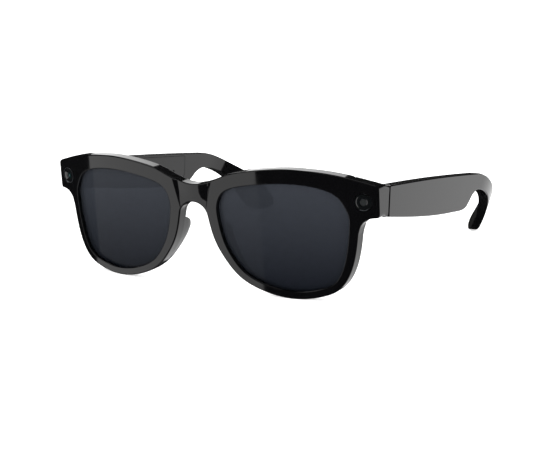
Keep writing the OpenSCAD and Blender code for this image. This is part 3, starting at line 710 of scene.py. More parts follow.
def window_glass():
    """Strengthened glass with a dark back print: near black, mirror smooth, with a thin coating."""
    return surface("printed_glass", linear("050607"), linear("07090a"), (0.02, 0.04), 3.0,
                   **{"IOR": 1.52, "Coat Weight": 0.4, "Coat Roughness": 0.02})


def coated_glass():
    """Camera lens glass with an anti-reflection coating, which leaves a teal cast."""
    return surface("coated_lens_glass", linear("08181b"), linear("0f2c30"), (0.02, 0.05), 1.0,
                   **{"IOR": 1.6, "Coat Weight": 1.0, "Coat Roughness": 0.02,
                      "Coat Tint": (*linear("4fb6b0"), 1)})


def clear_acrylic():
    """Moulded acrylic light pipe, frosted on its face: dim grey when its lamp is off."""
    return surface("frosted_acrylic", linear("1b1d1e"), linear("232627"), (0.25, 0.35), 0.3, 0.004,
                   **{"IOR": 1.49})


def floor_paint():
    """White studio paint, which glows a little as a lit backdrop does."""
    return surface("floor_paint", (0.92, 0.92, 0.92), (0.94, 0.94, 0.94), (0.7, 0.8), 40.0,
                   **{"Emission Color": (1, 1, 1, 1), "Emission Strength": 0.6})


def tinted_polycarbonate():
    """Cast polycarbonate with a blue-grey tint, and painted light that makes it paler at the top and darker
    towards the bottom.

    Its anti-reflection coating leaves it the weak reflection of a much lower index."""
    found = bpy.data.materials.get("tinted_polycarbonate")
    if found:
        return found
    low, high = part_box("lens_left")
    material = bpy.data.materials.new("tinted_polycarbonate")
    material.use_nodes = True
    tree = material.node_tree
    tree.nodes.clear()
    where = add_node(tree, "ShaderNodeTexCoord").outputs["Object"]
    height = add_node(tree, "ShaderNodeSeparateXYZ", links={"Vector": where}).outputs["Z"]
    # Painted light: by height, the tint goes from a paler top to a darker bottom
    painted_light_fade = add_node(tree, "ShaderNodeMapRange", {"From Min": low.z, "From Max": high.z}, {"Value": height})
    streak = add_node(tree, "ShaderNodeTexNoise", {"Scale": 1 / (12 * MM), "Detail": 2.0},
                      {"Vector": where})
    mixed = add_node(tree, "ShaderNodeMix", {6: (*colours().lens_bottom, 1), 7: (*colours().lens_top, 1)},
                     {0: painted_light_fade.outputs["Result"]}, data_type="RGBA")
    gloss = add_node(tree, "ShaderNodeMapRange", {"To Min": 0.01, "To Max": 0.03},
                     {"Value": streak.outputs["Fac"]})
    shader = add_node(tree, "ShaderNodeBsdfPrincipled", {"Transmission Weight": 0.4, "IOR": 1.12},
                      {"Base Color": mixed.outputs[2], "Roughness": gloss.outputs["Result"]})
    add_node(tree, "ShaderNodeOutputMaterial", links={"Surface": shader.outputs["BSDF"]})
    return material


# ---- Front ----

def front_place(s):
    base = surface_frame()
    return lambda p: through(base, np.column_stack([p[:, 0], bow(s, p[:, 0], p[:, 2]), p[:, 1]]))


def with_crossings(s, loop):
    """Adds points where the outline meets the edges of the end pieces' blocks."""
    out = []
    for p, q in zip(loop, np.roll(loop, -1, 0)):
        out.append(p)
        side = 1 if p[0] > 0 else -1
        a, b = p[0] * side - s.pod_x, q[0] * side - s.pod_x
        if a * b < 0 and min(p[1], q[1]) > s.pod_z:
            out.append(p + (q - p) * a / (a - b))
        a, b = p[1] - s.pod_z, q[1] - s.pod_z
        if a * b < 0 and min(abs(p[0]), abs(q[0])) > s.pod_x:
            out.append(p + (q - p) * a / (a - b))
    return np.array(out)


def crease_span(s):
    """Heights of a crease's foot and top."""
    return s.bridge_top - s.bridge_h - 3, s.bridge_top + 4


def crease_at(s, share):
    """A crease's distance from the middle, and its ramp's width, at a share of its height."""
    edge = (s.bridge_w / 2 - s.rim_nose_w) + (s.rim_nose_w - 1.2) * share
    return edge, CREASE_RAMP[0] + CREASE_RAMP[1] * share ** 1.3


def crease_depth(s, points):
    """Set-back of the bridge's face between its two creases, whose ramps widen towards the top."""
    low, top = crease_span(s)
    share = np.clip((points[:, 1] - low) / (top - low), 0, 1)
    edge, ramp = crease_at(s, share)
    crown = 0.2 + 0.4 * (np.sqrt(1 + (points[:, 0] / 2.5) ** 2) - 1)
    step = np.minimum(crown, s.bridge_step + 0.2) * np.clip(share * 2.2, 0, 1)
    return step * np.clip((edge - np.abs(points[:, 0])) / ramp, 0, 1)


def crease_lines(s):
    low, top = crease_span(s)
    share = np.linspace(0, 1, 40)
    edge, ramp = crease_at(s, share)
    return [np.column_stack([side * (edge - inner * ramp), low + (top - low) * share])
            for side in (-1, 1) for inner in (0, 1)]


def crease_slope(s):
    def slope(point, middle):
        """Normal at a point, taken on the side of a crease where its face lies."""
        near = point + (middle - point) * 0.05
        h = 0.02
        q = np.array([near, near + [h, 0], near + [0, h], near - [h, 0], near - [0, h]])
        d = crease_depth(s, q)
        n = np.array([(d[1] - d[3]) / (2 * h), (d[2] - d[4]) / (2 * h), -1])
        return n / np.linalg.norm(n)
    return slope


def rear_height(s, y):
    """Height of an end block's top edge at y, in the front frame."""
    return s.end_top - (y - bow(s, s.half, 0)) * math.tan(DROOP)


def pod_rows(s, ring):
    """Rows of points from an end block's outline at the front shell's back to the gap plane."""
    fall = s.butt_h * math.cos(DROOP)
    x, z = np.abs(ring[:, 0]), ring[:, 1]
    r = s.end_fillet_r
    cx = s.half - (s.end_w - s.rim_side_w - r)
    under = np.clip(cx - x, 0, r)
    low = np.maximum(s.end_low - r + np.sqrt(r * r - under ** 2), s.pod_z)
    share = np.clip((z - low) / (brow_line(s, x) - low), 0, 1)
    start = bow(s, x, s.shell_back)
    rows = []
    end = s.arm_y - s.gap * math.cos(DROOP)
    for t in POD_LEVELS:
        ease = t * t * (3 - 2 * t)
        y = start + (end - start) * t
        target = rear_height(s, y) - fall * (1 - share)
        height = z + (target - z) * ease
        y = y + (height - s.arm_z) * math.tan(DROOP) * t
        rows.append(np.column_stack([ring[:, 0], height, s.bow_r - np.sqrt((s.bow_r - y) ** 2 + x * x)]))
    return rows


def in_pod(s, p):
    return (np.abs(p[:, 0]) > s.pod_x) & (p[:, 1] > s.pod_z)


def eye_loop(s, radius, side):
    turns = np.linspace(0, 2 * np.pi, 72, endpoint=False)
    x = side * s.eye_x + radius * math.cos(s.eye_turn) * np.cos(-turns)
    return np.column_stack([x, s.eye_z + radius * np.sin(-turns)])


def front_shell(s):
    skin = Skin()
    outline = with_crossings(s, front_outline(s))
    openings = lens_openings(s)
    lap = s.lens_lap + FIT
    outer_profile = [arc(s.bevel, s.bevel, 0, 90) + [(0, s.shell_back, 90)]]
    lip = [arc(0.35, 0.35, 0, 90) + [(0, s.lip_t, 90)], [(0, s.lip_t, 180), (lap, s.lip_t, 180)],
           [(lap, s.lip_t, 90), (lap, s.shell_back, 90)]]
    first, last = skin.wall(outline, outer_profile)
    fronts, backs = [first], [last]
    for loop in openings:
        a, b = skin.wall(loop, lip)
        fronts.append(a)
        backs.append(b)
    eyes = [eye_loop(s, s.eye_r, side) for side in (1, -1)]
    slot = box_loop(s.half - 1.2, s.eye_z, 0.3, 2.2, 0.12)
    for loop, depth in [(eyes[0], 0.8), (eyes[1], 0.8), (slot, 0.4)]:
        a, b = skin.wall(loop, [arc(0.05, 0.05, 0, 90, steps=2) + [(0, depth, 90)]])
        fronts.append(a)
        skin.cap([b], grid=1.5)
    creases = []
    for line in crease_lines(s):
        line = line[inside(line, outline - sides(outline) * (s.bevel + 0.25))]
        creases.append(skin.add(np.column_stack([line, crease_depth(s, line + [1e-4, 0])])))
    skin.cap(fronts, depth=lambda p: crease_depth(s, p), slope=crease_slope(s), lines=creases)
    lowered(s, skin, first, outline)

    pods, lines = [], []
    for side in (1, -1):
        chain = pod_chain(s, outline, last, side)
        xs = [skin.points[i] for i in (chain[0], chain[-1])]
        run = inner_run(s, xs[1], xs[0], side)
        inner = skin.add(np.column_stack([run, np.full(len(run), s.shell_back)]))
        lines.append([chain[-1]] + inner + [chain[0]])
        pods.append(chain + inner)

    skin.cap(backs, lambda p: ~in_pod(s, p), back=True, lines=lines, grid=4.0)
    for ring in pods:
        flat = np.array([skin.points[i] for i in ring])
        rows = np.array(pod_rows(s, flat[:, :2]))
        close_pod(skin, ring, rows)
    return skin.build("front_shell_visual", front_place(s))


def lowered(s, skin, ring, outline):
    """Takes the outline's first rings back, so that the bridge's edge follows its face."""
    count = len(outline)
    for k, share in enumerate(BEVEL_SHARES):
        for i in range(count):
            index = ring[0] + k * count + i
            a, b, level = skin.points[index]
            drop = crease_depth(s, np.array([[a, b]]))[0]
            skin.points[index] = (a, b, level + drop * share)


def pod_chain(s, outline, ring, side):
    """The ring's vertices along an end block, in the outline's direction."""
    within = (outline[:, 0] * side >= s.pod_x - 1e-6) & (outline[:, 1] >= s.pod_z - 1e-6)
    n = len(ring)
    start = [i for i in range(n) if within[i] and not within[i - 1]][0]
    chain = []
    while within[start % n]:
        chain.append(ring[start % n])
        start += 1
    return chain


def inner_run(s, begin, end, side):
    """Points between the outline's two meetings with an end block, round the block's inner corner."""
    corner = (side * s.pod_x, s.pod_z)
    path = np.array([begin[:2], corner, end[:2]])
    out = []
    for p, q in zip(path, path[1:]):
        n = max(2, int(np.linalg.norm(q - p) / 0.8))
        out += [p + (q - p) * k / n for k in range(1, n + 1)]
    return np.array(out[:-1])


def close_pod(skin, ring, rows):
    """Walls of an end block and its rear face, with a small bevel at the gap."""
    middle = rows[-1].mean(axis=0)
    last = rows[-1]
    shrunk = middle + (last - middle) * [0.965, 0.965, 1]
    rows = np.concatenate([rows, [shrunk]])
    rows[-2, :, 2] -= 0.25
    along = np.roll(rows, -1, 1) - np.roll(rows, 1, 1)
    n = np.cross(np.gradient(rows, axis=0), along)
    n /= np.maximum(np.linalg.norm(n, axis=2), 1e-9)[:, :, None]
    flat = sides(rows[0][:, :2])
    n[0] = np.column_stack([flat, np.zeros(len(flat))])
    if np.mean(np.sum(n[2] * n[0], axis=1)) < 0:
        n[1:] *= -1
    ids = ring
    for k in range(1, len(rows)):
        new = skin.add(rows[k])
        skin.strip(ids, new, n[k - 1], n[k])
        ids = new
    centre = skin.add([shrunk.mean(axis=0)])[0]
    for i in range(len(ids)):
        skin.faces.append((centre, ids[(i + 1) % len(ids)], ids[i]))
        skin.normals += [(0, 0, 1)] * 3


def rear_shell(s):
    skin = Skin()
    outline = front_outline(s)
    inner = s.pod_x - FIT   # a block's lower edge slopes, so no thin tongue is left
    block = np.array([(inner, s.pod_z - FIT), (90, s.pod_z - 14), (90, 60), (inner, 60)])
    blocks = [block, block * [-1, 1]]

    def solid(p):
        return inside(p, outline) & ~inside(p, blocks[0]) & ~inside(p, blocks[1])
    outer = softened(spaced(joined([outline] + blocks, solid)[0], 0.45), 8)
    openings = lens_openings(s)
    mic_z = s.bridge_top - 1.6
    port_z = s.bridge_top - s.bridge_h / 2 - 1.4
    holes = [box_loop(0, port_z, 9.1, 2.7), box_loop(0, mic_z, 2.6, 1.4)]
    low = s.shell_back + FIT
    fronts, backs = [], []
    for loop, r in [(outer, 0.25)] + [(o, 0.4) for o in openings] + [(h, 0.12) for h in holes]:
        a, b = skin.wall(loop, [[(0, low, 90)] + arc(r, s.rim_t - r, 90, 180)])
        fronts.append(a)
        backs.append(b)

    skin.cap(fronts)
    skin.cap(backs, back=True)
    return skin.build("rear_shell_visual", front_place(s))


def box_loop(x, z, w, h, r=0.3):
    """A clockwise rectangle with rounded corners, with no long edge and no point twice."""
    out = []
    for cx, cz, first in ((1, 1, 90), (1, -1, 0), (-1, -1, -90), (-1, 1, -180)):
        for k in range(6):
            a = math.radians(first - 18 * k)
            out.append((x + cx * (w / 2 - r) + r * math.cos(a), z + cz * (h / 2 - r) + r * math.sin(a)))
    dense = []
    for p, q in zip(np.array(out), np.roll(np.array(out), -1, 0)):
        far = np.linalg.norm(q - p)
        if far > LEAST_EDGE:
            parts = math.ceil(far / LONGEST_EDGE)
            dense += [p + (q - p) * k / parts for k in range(parts)]
    return np.array(dense)


def lens(s, mirrored):
    skin = Skin()
    loop = (softened(spaced(opening_loop(s, s.lens_lap), 0.8), 2) + [s.lens_cx, 0])[::-1]
    front, back, r = s.lip_t + FIT, s.lip_t + s.lens_t + FIT, 0.12
    a, b = skin.wall(loop, [arc(r, front + r, 0, 90, steps=3), arc(r, back - r, 90, 180, steps=3)])
    skin.cap([a], grid=2.5)
    skin.cap([b], grid=2.5, back=True)
    return skin.build(sided("lens", mirrored), front_place(s), mirrored)


def nose_pad(s, mirrored):
    """A pad that follows the rim's nose side and swells backwards from it."""
    skin = Skin()
    curve = rim_loop(s)
    out = -sides(curve)
    top = s.lens_h * 0.075
    nose = [i for i in range(len(curve)) if curve[i, 0] < 0 and top - s.pad_len < curve[i, 1] < top]
    rows, turns = [], np.linspace(0, 2 * np.pi, 28, endpoint=False)
    for k, i in enumerate(nose):
        u = k / (len(nose) - 1)
        swell = 0.3 + 0.7 * min(u / 0.8, 1)
        rounded_low = math.sqrt(max(0.02, 1 - max(0, (u - 0.8) / 0.2) ** 2))
        swell *= rounded_low * math.sqrt(min(1, (u + 0.004) / 0.08))
        half = s.pad_t / 2 * (0.5 + 0.5 * swell)
        square = np.sign(np.cos(turns)) * np.abs(np.cos(turns)) ** 0.5
        inset = 0.1 + half - half * square
        reach = np.where(np.sin(turns) > 0, np.abs(np.sin(turns)) ** 0.5, 0) * s.pad_depth * 0.98 * swell
        place = curve[i] - out[i] * (inset + 0.05 * reach)[:, None]
        rows.append(np.column_stack([place + [s.lens_cx, 0], s.rim_t - 0.35 + reach]))
    ids = skin.grid(rows)
    for ring, turn in ((ids[0], -1), (ids[-1], 1)):
        centre = skin.add([np.mean([skin.points[i] for i in ring], axis=0)])[0]
        for i in range(len(ring)):
            j = (i + 1) % len(ring)
            face = (centre, ring[i], ring[j]) if turn < 0 else (centre, ring[j], ring[i])
            skin.faces.append(face)
            skin.normals += [(0, turn, 0)] * 3
    return skin.build(sided("nose_pad", mirrored), front_place(s), mirrored)


# ---- Temples ----

def arm_low(s, y):
    return -(s.butt_h + (s.arm_h - s.butt_h) * np.sin(np.pi / 2 * np.minimum(y / 55, 1)))


def arm_high(s, y):
    return 0.5 * np.sin(np.pi * np.minimum(y / s.bend_len, 1))


def arm_outline(s):
    """A temple's outline, anticlockwise, evenly spaced and with softened corners."""
    top = np.linspace(0, s.bend_len, 60)[:-1]
    hook = [(s.bend_len + p[0] * s.hook_len, p[1] * s.hook_drop) for p in HOOK]
    step = [(s.step_y + 12.4, -0.58 * s.arm_h), (s.step_y + 8.2, -0.80 * s.arm_h),
            (s.step_y + 4.6, -0.95 * s.arm_h), (s.step_y, arm_low(s, s.step_y))]
    low = np.linspace(s.step_y, 0, 60)[1:]
    loop = np.vstack([np.column_stack([top, arm_high(s, top)]), open_curve(hook + step, 12),
                      np.column_stack([low, arm_low(s, low)])])
    return softened(spaced(loop, 0.5), 3)[::-1]


def arm_place(s):
    matrix = arm_matrix(s)
    start_y, start_z = s.bend_len + 2.4, -4.3

    def place(p):
        u = (p[:, 0] - start_y) * math.cos(BEND_TILT) - (p[:, 1] - start_z) * math.sin(BEND_TILT)
        u = np.maximum(u, 0)
        r = s.hook_bend_r
        outer = r - np.sqrt(r * r - u * u)
        inner = s.arm_t + r + 5 - np.sqrt((r + 5) ** 2 - u * u)
        x = -(outer + (inner - outer) * p[:, 2] / s.arm_t)
        return through(matrix, np.column_stack([x, p[:, 0], p[:, 1]]))
    return place


def bay_loop(s, m, first, last):
    y2 = s.step_y / 2
    points = [(first, arm_high(s, first) - m), (last, -m), (last, arm_low(s, s.step_y) * 0.72 + m),
              (s.step_y - 2, arm_low(s, s.step_y) + m), (y2, arm_low(s, y2) + m),
              (first, arm_low(s, first) + m)]
    return softened(spaced(np.array(points, float), 0.6), 2)


def temple_shell(s, mirrored):
    skin = Skin()
    outline = arm_outline(s)
    cover = bay_loop(s, 0.7, 9.25, s.step_y + 2.55)
    bay = bay_loop(s, s.wall + 0.4, 10.2, s.step_y + 1)
    leaf = box_loop(4.75, -s.butt_h / 2, 8.6, 6.8, 0.2)
    first, last = skin.wall(outline, [arc(s.arm_bevel, s.arm_bevel, 0, 90)
                                      + arc(0.4, s.arm_t - 0.4, 90, 180)])
    skin.cap([first])
    shelf = s.arm_t - s.cover_t - FIT
    rim, ledge = skin.wall(cover, [arc(0.08, s.arm_t - 0.08, 180, 90, steps=2) + [(0, shelf, 90)]])
    edge, deep = skin.wall(bay, [[(0, shelf, 90), (0, s.wall, 90)]])
    pocket, floor = skin.wall(leaf, [[(0, s.arm_t, 90), (0, s.arm_t - 0.95, 90)]])
    skin.cap([last, rim, pocket], back=True)
    skin.cap([ledge, edge], back=True, grid=4)
    skin.cap([deep], back=True, grid=4)
    skin.cap([floor], back=True, grid=4)
    return skin.build(sided("temple_shell", mirrored), arm_place(s), mirrored)


def speaker_corner(s):
    """Where a speaker begins along a temple, and the height of its middle."""
    y = s.step_y - 2.8 - s.speaker_l
    return y, arm_low(s, y) + s.wall + 4.0


def slot_loops(s):
    """The speaker's slots and the microphone's hole in a temple's cover."""
    speaker_y, speaker_z = speaker_corner(s)
    pitch = (s.speaker_l - 3) / 5
    loops = [box_loop(speaker_y + 1.9 + k * pitch, speaker_z, 0.8, 4.0, 0.38) for k in range(5)]
    mic_z = arm_low(s, MICROPHONE_Y) + s.wall + 1.5
    return loops + [box_loop(MICROPHONE_Y, mic_z, 0.7, 0.7, 0.34)]


def temple_cover(s, mirrored):
    skin = Skin()
    loop = bay_loop(s, 0.75, 9.3, s.step_y + 2.5)[::-1]
    holes = slot_loops(s)
    if not mirrored:
        slide_z = arm_low(s, SLIDER_Y) / 2
        run = s.slider_l + s.slider_travel + 2 * FREE
        holes.append(box_loop(SLIDER_Y + s.slider_travel / 2, slide_z, run, 2.5, 0.3))
    low = s.arm_t - s.cover_t
    fronts, backs = [], []
    for path, r in [(loop, 0.12)] + [(h, 0.08) for h in holes]:
        a, b = skin.wall(path, [[(0, low, 90)] + arc(r, s.arm_t - r, 90, 180, steps=3)])
        fronts.append(a)
        backs.append(b)

    skin.cap(fronts, grid=4)
    skin.cap(backs, back=True, grid=3)
    return skin.build(sided("temple_cover", mirrored), arm_place(s), mirrored)


# ---- What repeats: screws and the speakers' mesh ----

def nodes_tree(name, sizes_in):
    """A geometry tree with one named input for each size and for the material."""
    tree = bpy.data.node_groups.new(name, "GeometryNodeTree")
    tree.interface.new_socket("Geometry", in_out="OUTPUT", socket_type="NodeSocketGeometry")
    for label, value in sizes_in.items():
        socket = tree.interface.new_socket(label, in_out="INPUT", socket_type="NodeSocketFloat")
        socket.default_value = value
    tree.interface.new_socket("Material", in_out="INPUT", socket_type="NodeSocketMaterial")
    return tree, add_node(tree, "NodeGroupInput")


def made_plain(name, tree, material, values, matrix, mirrored):
    """Evaluates a tree on an empty mesh and keeps the result as a plain mesh in the row frame."""
    host = linked(name + "_host", bpy.data.meshes.new(name + "_host"))
    modifier = host.modifiers.new("nodes", "NODES")
    modifier.node_group = tree
    known = {i.name: i.identifier for i in tree.interface.items_tree if i.in_out == "INPUT"}
    modifier[known["Material"]] = material
    for label, value in values.items():
        modifier[known[label]] = value
    evaluated = host.evaluated_get(bpy.context.evaluated_depsgraph_get())
    mesh = bpy.data.meshes.new_from_object(evaluated)
    host.modifiers.remove(modifier)
    bpy.data.objects.remove(host)
    scaled = Matrix.Scale(MM, 4) @ matrix @ Matrix.Scale(1 / MM, 4)
    mesh.transform(scaled)
    if mirrored:
        mesh.transform(Matrix.Scale(-1, 4, (1, 0, 0)))
        mesh.flip_normals()
    mesh.set_sharp_from_angle(angle=math.radians(35))
    return linked(name, mesh)


def mesh_tree():
    """Round wires crossed into a speaker's protective mesh: rows of bars both ways."""
    tree, given = nodes_tree("speaker_mesh", {"Length": 10 * MM, "Height": 4.8 * MM, "Pitch": 0.5 * MM,
                                              "Wire": 0.09 * MM})
    solid = []
    for along, across, turn in (("Length", "Height", 0), ("Height", "Length", math.pi / 2)):
        count = add_node(tree, "ShaderNodeMath", links={0: given.outputs[along], 1: given.outputs["Pitch"]},
                         operation="DIVIDE")
        half = add_node(tree, "ShaderNodeMath", {1: -0.5}, {0: given.outputs[along]}, operation="MULTIPLY")
        start = add_node(tree, "ShaderNodeCombineXYZ", links={"Y" if turn == 0 else "Z": half.outputs[0]})
        step = add_node(tree, "ShaderNodeCombineXYZ",
                        links={"Y" if turn == 0 else "Z": given.outputs["Pitch"]})
        row = add_node(tree, "GeometryNodeMeshLine", links={"Count": count.outputs[0],
                       "Start Location": start.outputs[0], "Offset": step.outputs[0]}, mode="OFFSET")
        bar = add_node(tree, "GeometryNodeMeshCylinder", {"Vertices": 6}, {"Radius": given.outputs["Wire"],
                       "Depth": given.outputs[across]})
        laid = add_node(tree, "GeometryNodeInstanceOnPoints", {"Rotation": (turn, 0, 0)},
                        {"Points": row.outputs["Mesh"], "Instance": bar.outputs["Mesh"]})
        solid.append(laid.outputs["Instances"])
    return finished_tree(tree, given, solid)


def screw_tree():
    """Two slotted screws: a head with a sloping edge, a slot and a threaded shank."""
    tree, given = nodes_tree("hinge_screws", {"Spacing": 5.2 * MM, "Shank": 2.4 * MM, "Thread": 0.3 * MM})
    head = add_node(tree, "GeometryNodeMeshCone", {"Vertices": 32, "Radius Top": 0.7 * MM,
                    "Radius Bottom": 0.85 * MM, "Depth": 0.25 * MM})
    head = add_node(tree, "GeometryNodeTransform", {"Translation": (0, 0, -0.11 * MM)},
                    {"Geometry": head.outputs["Mesh"]})
    slot = add_node(tree, "GeometryNodeMeshCube", {"Size": (0.24 * MM, 1.3 * MM, 0.3 * MM)})
    slot = add_node(tree, "GeometryNodeTransform", {"Translation": (0, 0, 0.18 * MM)},
                    {"Geometry": slot.outputs["Mesh"]})
    cut = add_node(tree, "GeometryNodeMeshBoolean", links={0: head.outputs[0], 1: slot.outputs[0]},
                   operation="DIFFERENCE", solver="EXACT")
    thread = add_node(tree, "GeometryNodeMeshCone", {"Vertices": 24, "Radius Top": 0.5 * MM,
                      "Radius Bottom": 0.42 * MM, "Depth": 0.3 * MM})
    turns = add_node(tree, "ShaderNodeMath", links={0: given.outputs["Shank"], 1: given.outputs["Thread"]},
                     operation="DIVIDE")
    down = add_node(tree, "ShaderNodeMath", {1: -1.0}, {0: given.outputs["Thread"]}, operation="MULTIPLY")
    pitch = add_node(tree, "ShaderNodeCombineXYZ", links={"Z": down.outputs[0]})
    row = add_node(tree, "GeometryNodeMeshLine", {"Start Location": (0, 0, -0.41 * MM)},
                   {"Count": turns.outputs[0], "Offset": pitch.outputs[0]}, mode="OFFSET")
    shank = add_node(tree, "GeometryNodeInstanceOnPoints", links={"Points": row.outputs["Mesh"],
                     "Instance": thread.outputs["Mesh"]})
    screw = add_node(tree, "GeometryNodeJoinGeometry", links={"Geometry": cut.outputs[0]})
    tree.links.new(shank.outputs[0], screw.inputs[0])
    half = add_node(tree, "ShaderNodeMath", {1: -0.5}, {0: given.outputs["Spacing"]}, operation="MULTIPLY")
    first = add_node(tree, "ShaderNodeCombineXYZ", links={"X": half.outputs[0]})
    apart = add_node(tree, "ShaderNodeCombineXYZ", links={"X": given.outputs["Spacing"]})
    pair = add_node(tree, "GeometryNodeMeshLine", {"Count": 2}, {"Start Location": first.outputs[0],
                    "Offset": apart.outputs[0]}, mode="OFFSET")
    laid = add_node(tree, "GeometryNodeInstanceOnPoints", links={"Points": pair.outputs["Mesh"],
                    "Instance": screw.outputs[0]})
    return finished_tree(tree, given, [laid.outputs["Instances"]])


def finished_tree(tree, given, solids):
    """Ends a tree: joins what it made, realizes the instances and sets the material."""
    whole = add_node(tree, "GeometryNodeJoinGeometry")
    for made in solids:
        tree.links.new(made, whole.inputs[0])
    real = add_node(tree, "GeometryNodeRealizeInstances", links={0: whole.outputs[0]})
    painted = add_node(tree, "GeometryNodeSetMaterial", links={"Geometry": real.outputs[0],
                       "Material": given.outputs["Material"]})
    smooth = add_node(tree, "GeometryNodeSetShadeSmooth", links={0: painted.outputs[0]})
    add_node(tree, "NodeGroupOutput", links={0: smooth.outputs[0]})
    return tree


# ---- Controls ----

def flat_piece(name, loop, place, low, high, radius, mirrored=False):
    """A plate with a rounded upper edge, from depth low to depth high."""
    skin = Skin()
    a, b = skin.wall(loop, [[(0, low, 90)] + arc(radius, high - radius, 90, 180)])
    skin.cap([a], grid=1.0)
    skin.cap([b], back=True, grid=1.0)
    return skin.build(name, place, mirrored)


def capture_button(s):
    """A pill-shaped button in the right temple's top edge, with a shallow domed edge."""
    matrix = arm_matrix(s)
    middle_x = s.arm_t / 2 - 0.2
    loop = box_loop(0, 0, s.button_w, s.button_l, s.button_w / 2)[::-1]
    low, high = -s.wall - 1.0, arm_high(s, BUTTON_Y) + s.button_up

    def place(p):
        return through(matrix, np.column_stack([-middle_x - p[:, 0], BUTTON_Y + p[:, 1], p[:, 2]]))
    return flat_piece("capture_button_visual", loop, place, low, high, 0.5, True)


def power_slider(s):
    """A slider on the left temple's cover, with grip ribs across it."""
    skin = Skin()
    middle_z = arm_low(s, SLIDER_Y) / 2
    loop = box_loop(SLIDER_Y, middle_z, s.slider_l, 2.2, 0.35)[::-1]
    low, high = s.arm_t - s.cover_t - 0.5, s.arm_t + 0.5
    a, b = skin.wall(loop, [[(0, low, 90)] + arc(0.22, high - 0.22, 90, 180)])
    ribs = [box_loop(SLIDER_Y + k * 0.8, middle_z, 0.36, 1.5, 0.17) for k in (-2, -1, 0, 1, 2)]
    tops = []
    for rib in ribs:
        top, foot = skin.wall(rib, [arc(0.05, high - 0.05, 180, 90, steps=2) + [(0, high - 0.22, 90)]])
        skin.cap([foot], back=True)
        tops.append(top)
    skin.cap([a])
    skin.cap([b] + tops, back=True)
    return skin.build("power_slider_visual", arm_place(s))


# ---- Operators ----

class GLASSES_OT_front(bpy.types.Operator):
    """Builds the front shell and the rear shell"""
    bl_idname = "glasses.front"
    bl_label = "Front"

    def execute(self, context):
        s = sizes()
        mounted(front_shell(s), "frame", "frame_black", polished_nylon(), "front_shell")
        mounted(rear_shell(s), "frame", "frame_black", polished_nylon(), "rear_shell")
        return {"FINISHED"}


class GLASSES_OT_lenses(bpy.types.Operator):
    """Builds the two tinted lenses"""
    bl_idname = "glasses.lenses"
    bl_label = "Lenses"

    def execute(self, context):
        s = sizes()
        mounted(lens(s, False), "frame", "tinted_lens", tinted_polycarbonate(), "lens_left")
        mounted(lens(s, True), "frame", "tinted_lens", tinted_polycarbonate(), "lens_right")
        return {"FINISHED"}


class GLASSES_OT_nose_pads(bpy.types.Operator):
    """Builds the two nose pads"""
    bl_idname = "glasses.nose_pads"
    bl_label = "Nose pads"

    def execute(self, context):
        s = sizes()
        mounted(nose_pad(s, False), "frame", "frame_black", polished_nylon(), "nose_pad_left")
        mounted(nose_pad(s, True), "frame", "frame_black", polished_nylon(), "nose_pad_right")
        return {"FINISHED"}


class GLASSES_OT_windows(bpy.types.Operator):
    """Builds the camera's and the indicator's rings, windows and optics"""
    bl_idname = "glasses.windows"
    bl_label = "Camera and indicator"

    def execute(self, context):
        s = sizes()
        r, w = s.eye_r - FIT, s.eye_w
        hole = s.eye_r - w
        eye = eye_matrix(s)
        ring = [(r, 0.12), (r - 0.1, 0.0), (hole + 0.12, 0.0), (hole, 0.14), (hole, 0.75), (r, 0.75)]
        for side, body in (("camera", True), ("indicator", False)):
            piece = turned_piece(side + "_bezel_visual", ring, eye, body)
            mounted(piece, "frame", "anodised_grey", anodised_aluminium(), side + "_bezel")
        g = hole - FIT
        cup = [(0, 0.55), (1.02, 0.55), (1.08, 0.44), (1.45, 0.4), (1.52, 0.22), (1.9, 0.18),
               (g - 0.1, 0.12), (g, 0.2), (g, 0.75), (0, 0.75)]
        window = turned_piece("camera_window_visual", cup, eye, True)
        mounted(window, "frame", "dark_window", window_glass(), "camera_window")
        dome = [(0, 0.17), (0.3, 0.19), (0.58, 0.26), (0.82, 0.38), (1.0, 0.53), (1.0, 0.56), (0, 0.56)]
        element = turned_piece("camera_front_element", dome, eye, True)
        mounted(element, "frame", "dark_window", coated_glass())
        pipe = 1.3
        plate = [(pipe, 0.2), (pipe + 0.08, 0.14), (g - 0.1, 0.14), (g, 0.22), (g, 0.75), (pipe, 0.75)]
        window = turned_piece("indicator_window_visual", plate, eye)
        mounted(window, "frame", "dark_window", window_glass(), "indicator_window")
        light = [(0, 0.16), (0.8, 0.17), (1.15, 0.2), (1.25, 0.3), (1.25, 3.0), (0, 3.0)]
        guide = turned_piece("indicator_light_pipe_visual", light, eye)
        mounted(guide, "frame", "light_pipe", clear_acrylic(), "indicator_light_pipe")
        return {"FINISHED"}


class GLASSES_OT_temples(bpy.types.Operator):
    """Builds the two temple shells and their inner covers"""
    bl_idname = "glasses.temples"
    bl_label = "Temples"

    def execute(self, context):
        s = sizes()
        for side, mirrored in SIDES:
            body = side + "_temple"
            shell, cover = temple_shell(s, mirrored), temple_cover(s, mirrored)
            mounted(shell, body, "frame_black", polished_nylon(), "temple_shell_" + side)
            mounted(cover, body, "inner_black", polished_nylon(), "temple_cover_" + side)
        return {"FINISHED"}


class GLASSES_OT_controls(bpy.types.Operator):
    """Builds the capture button and the power slider"""
    bl_idname = "glasses.controls"
    bl_label = "Controls"

    def execute(self, context):
        s = sizes()
        mounted(capture_button(s), "capture_button", "frame_black", satin_nylon(), "capture_button")
        mounted(power_slider(s), "power_slider", "inner_black", satin_nylon(), "power_slider")
        return {"FINISHED"}


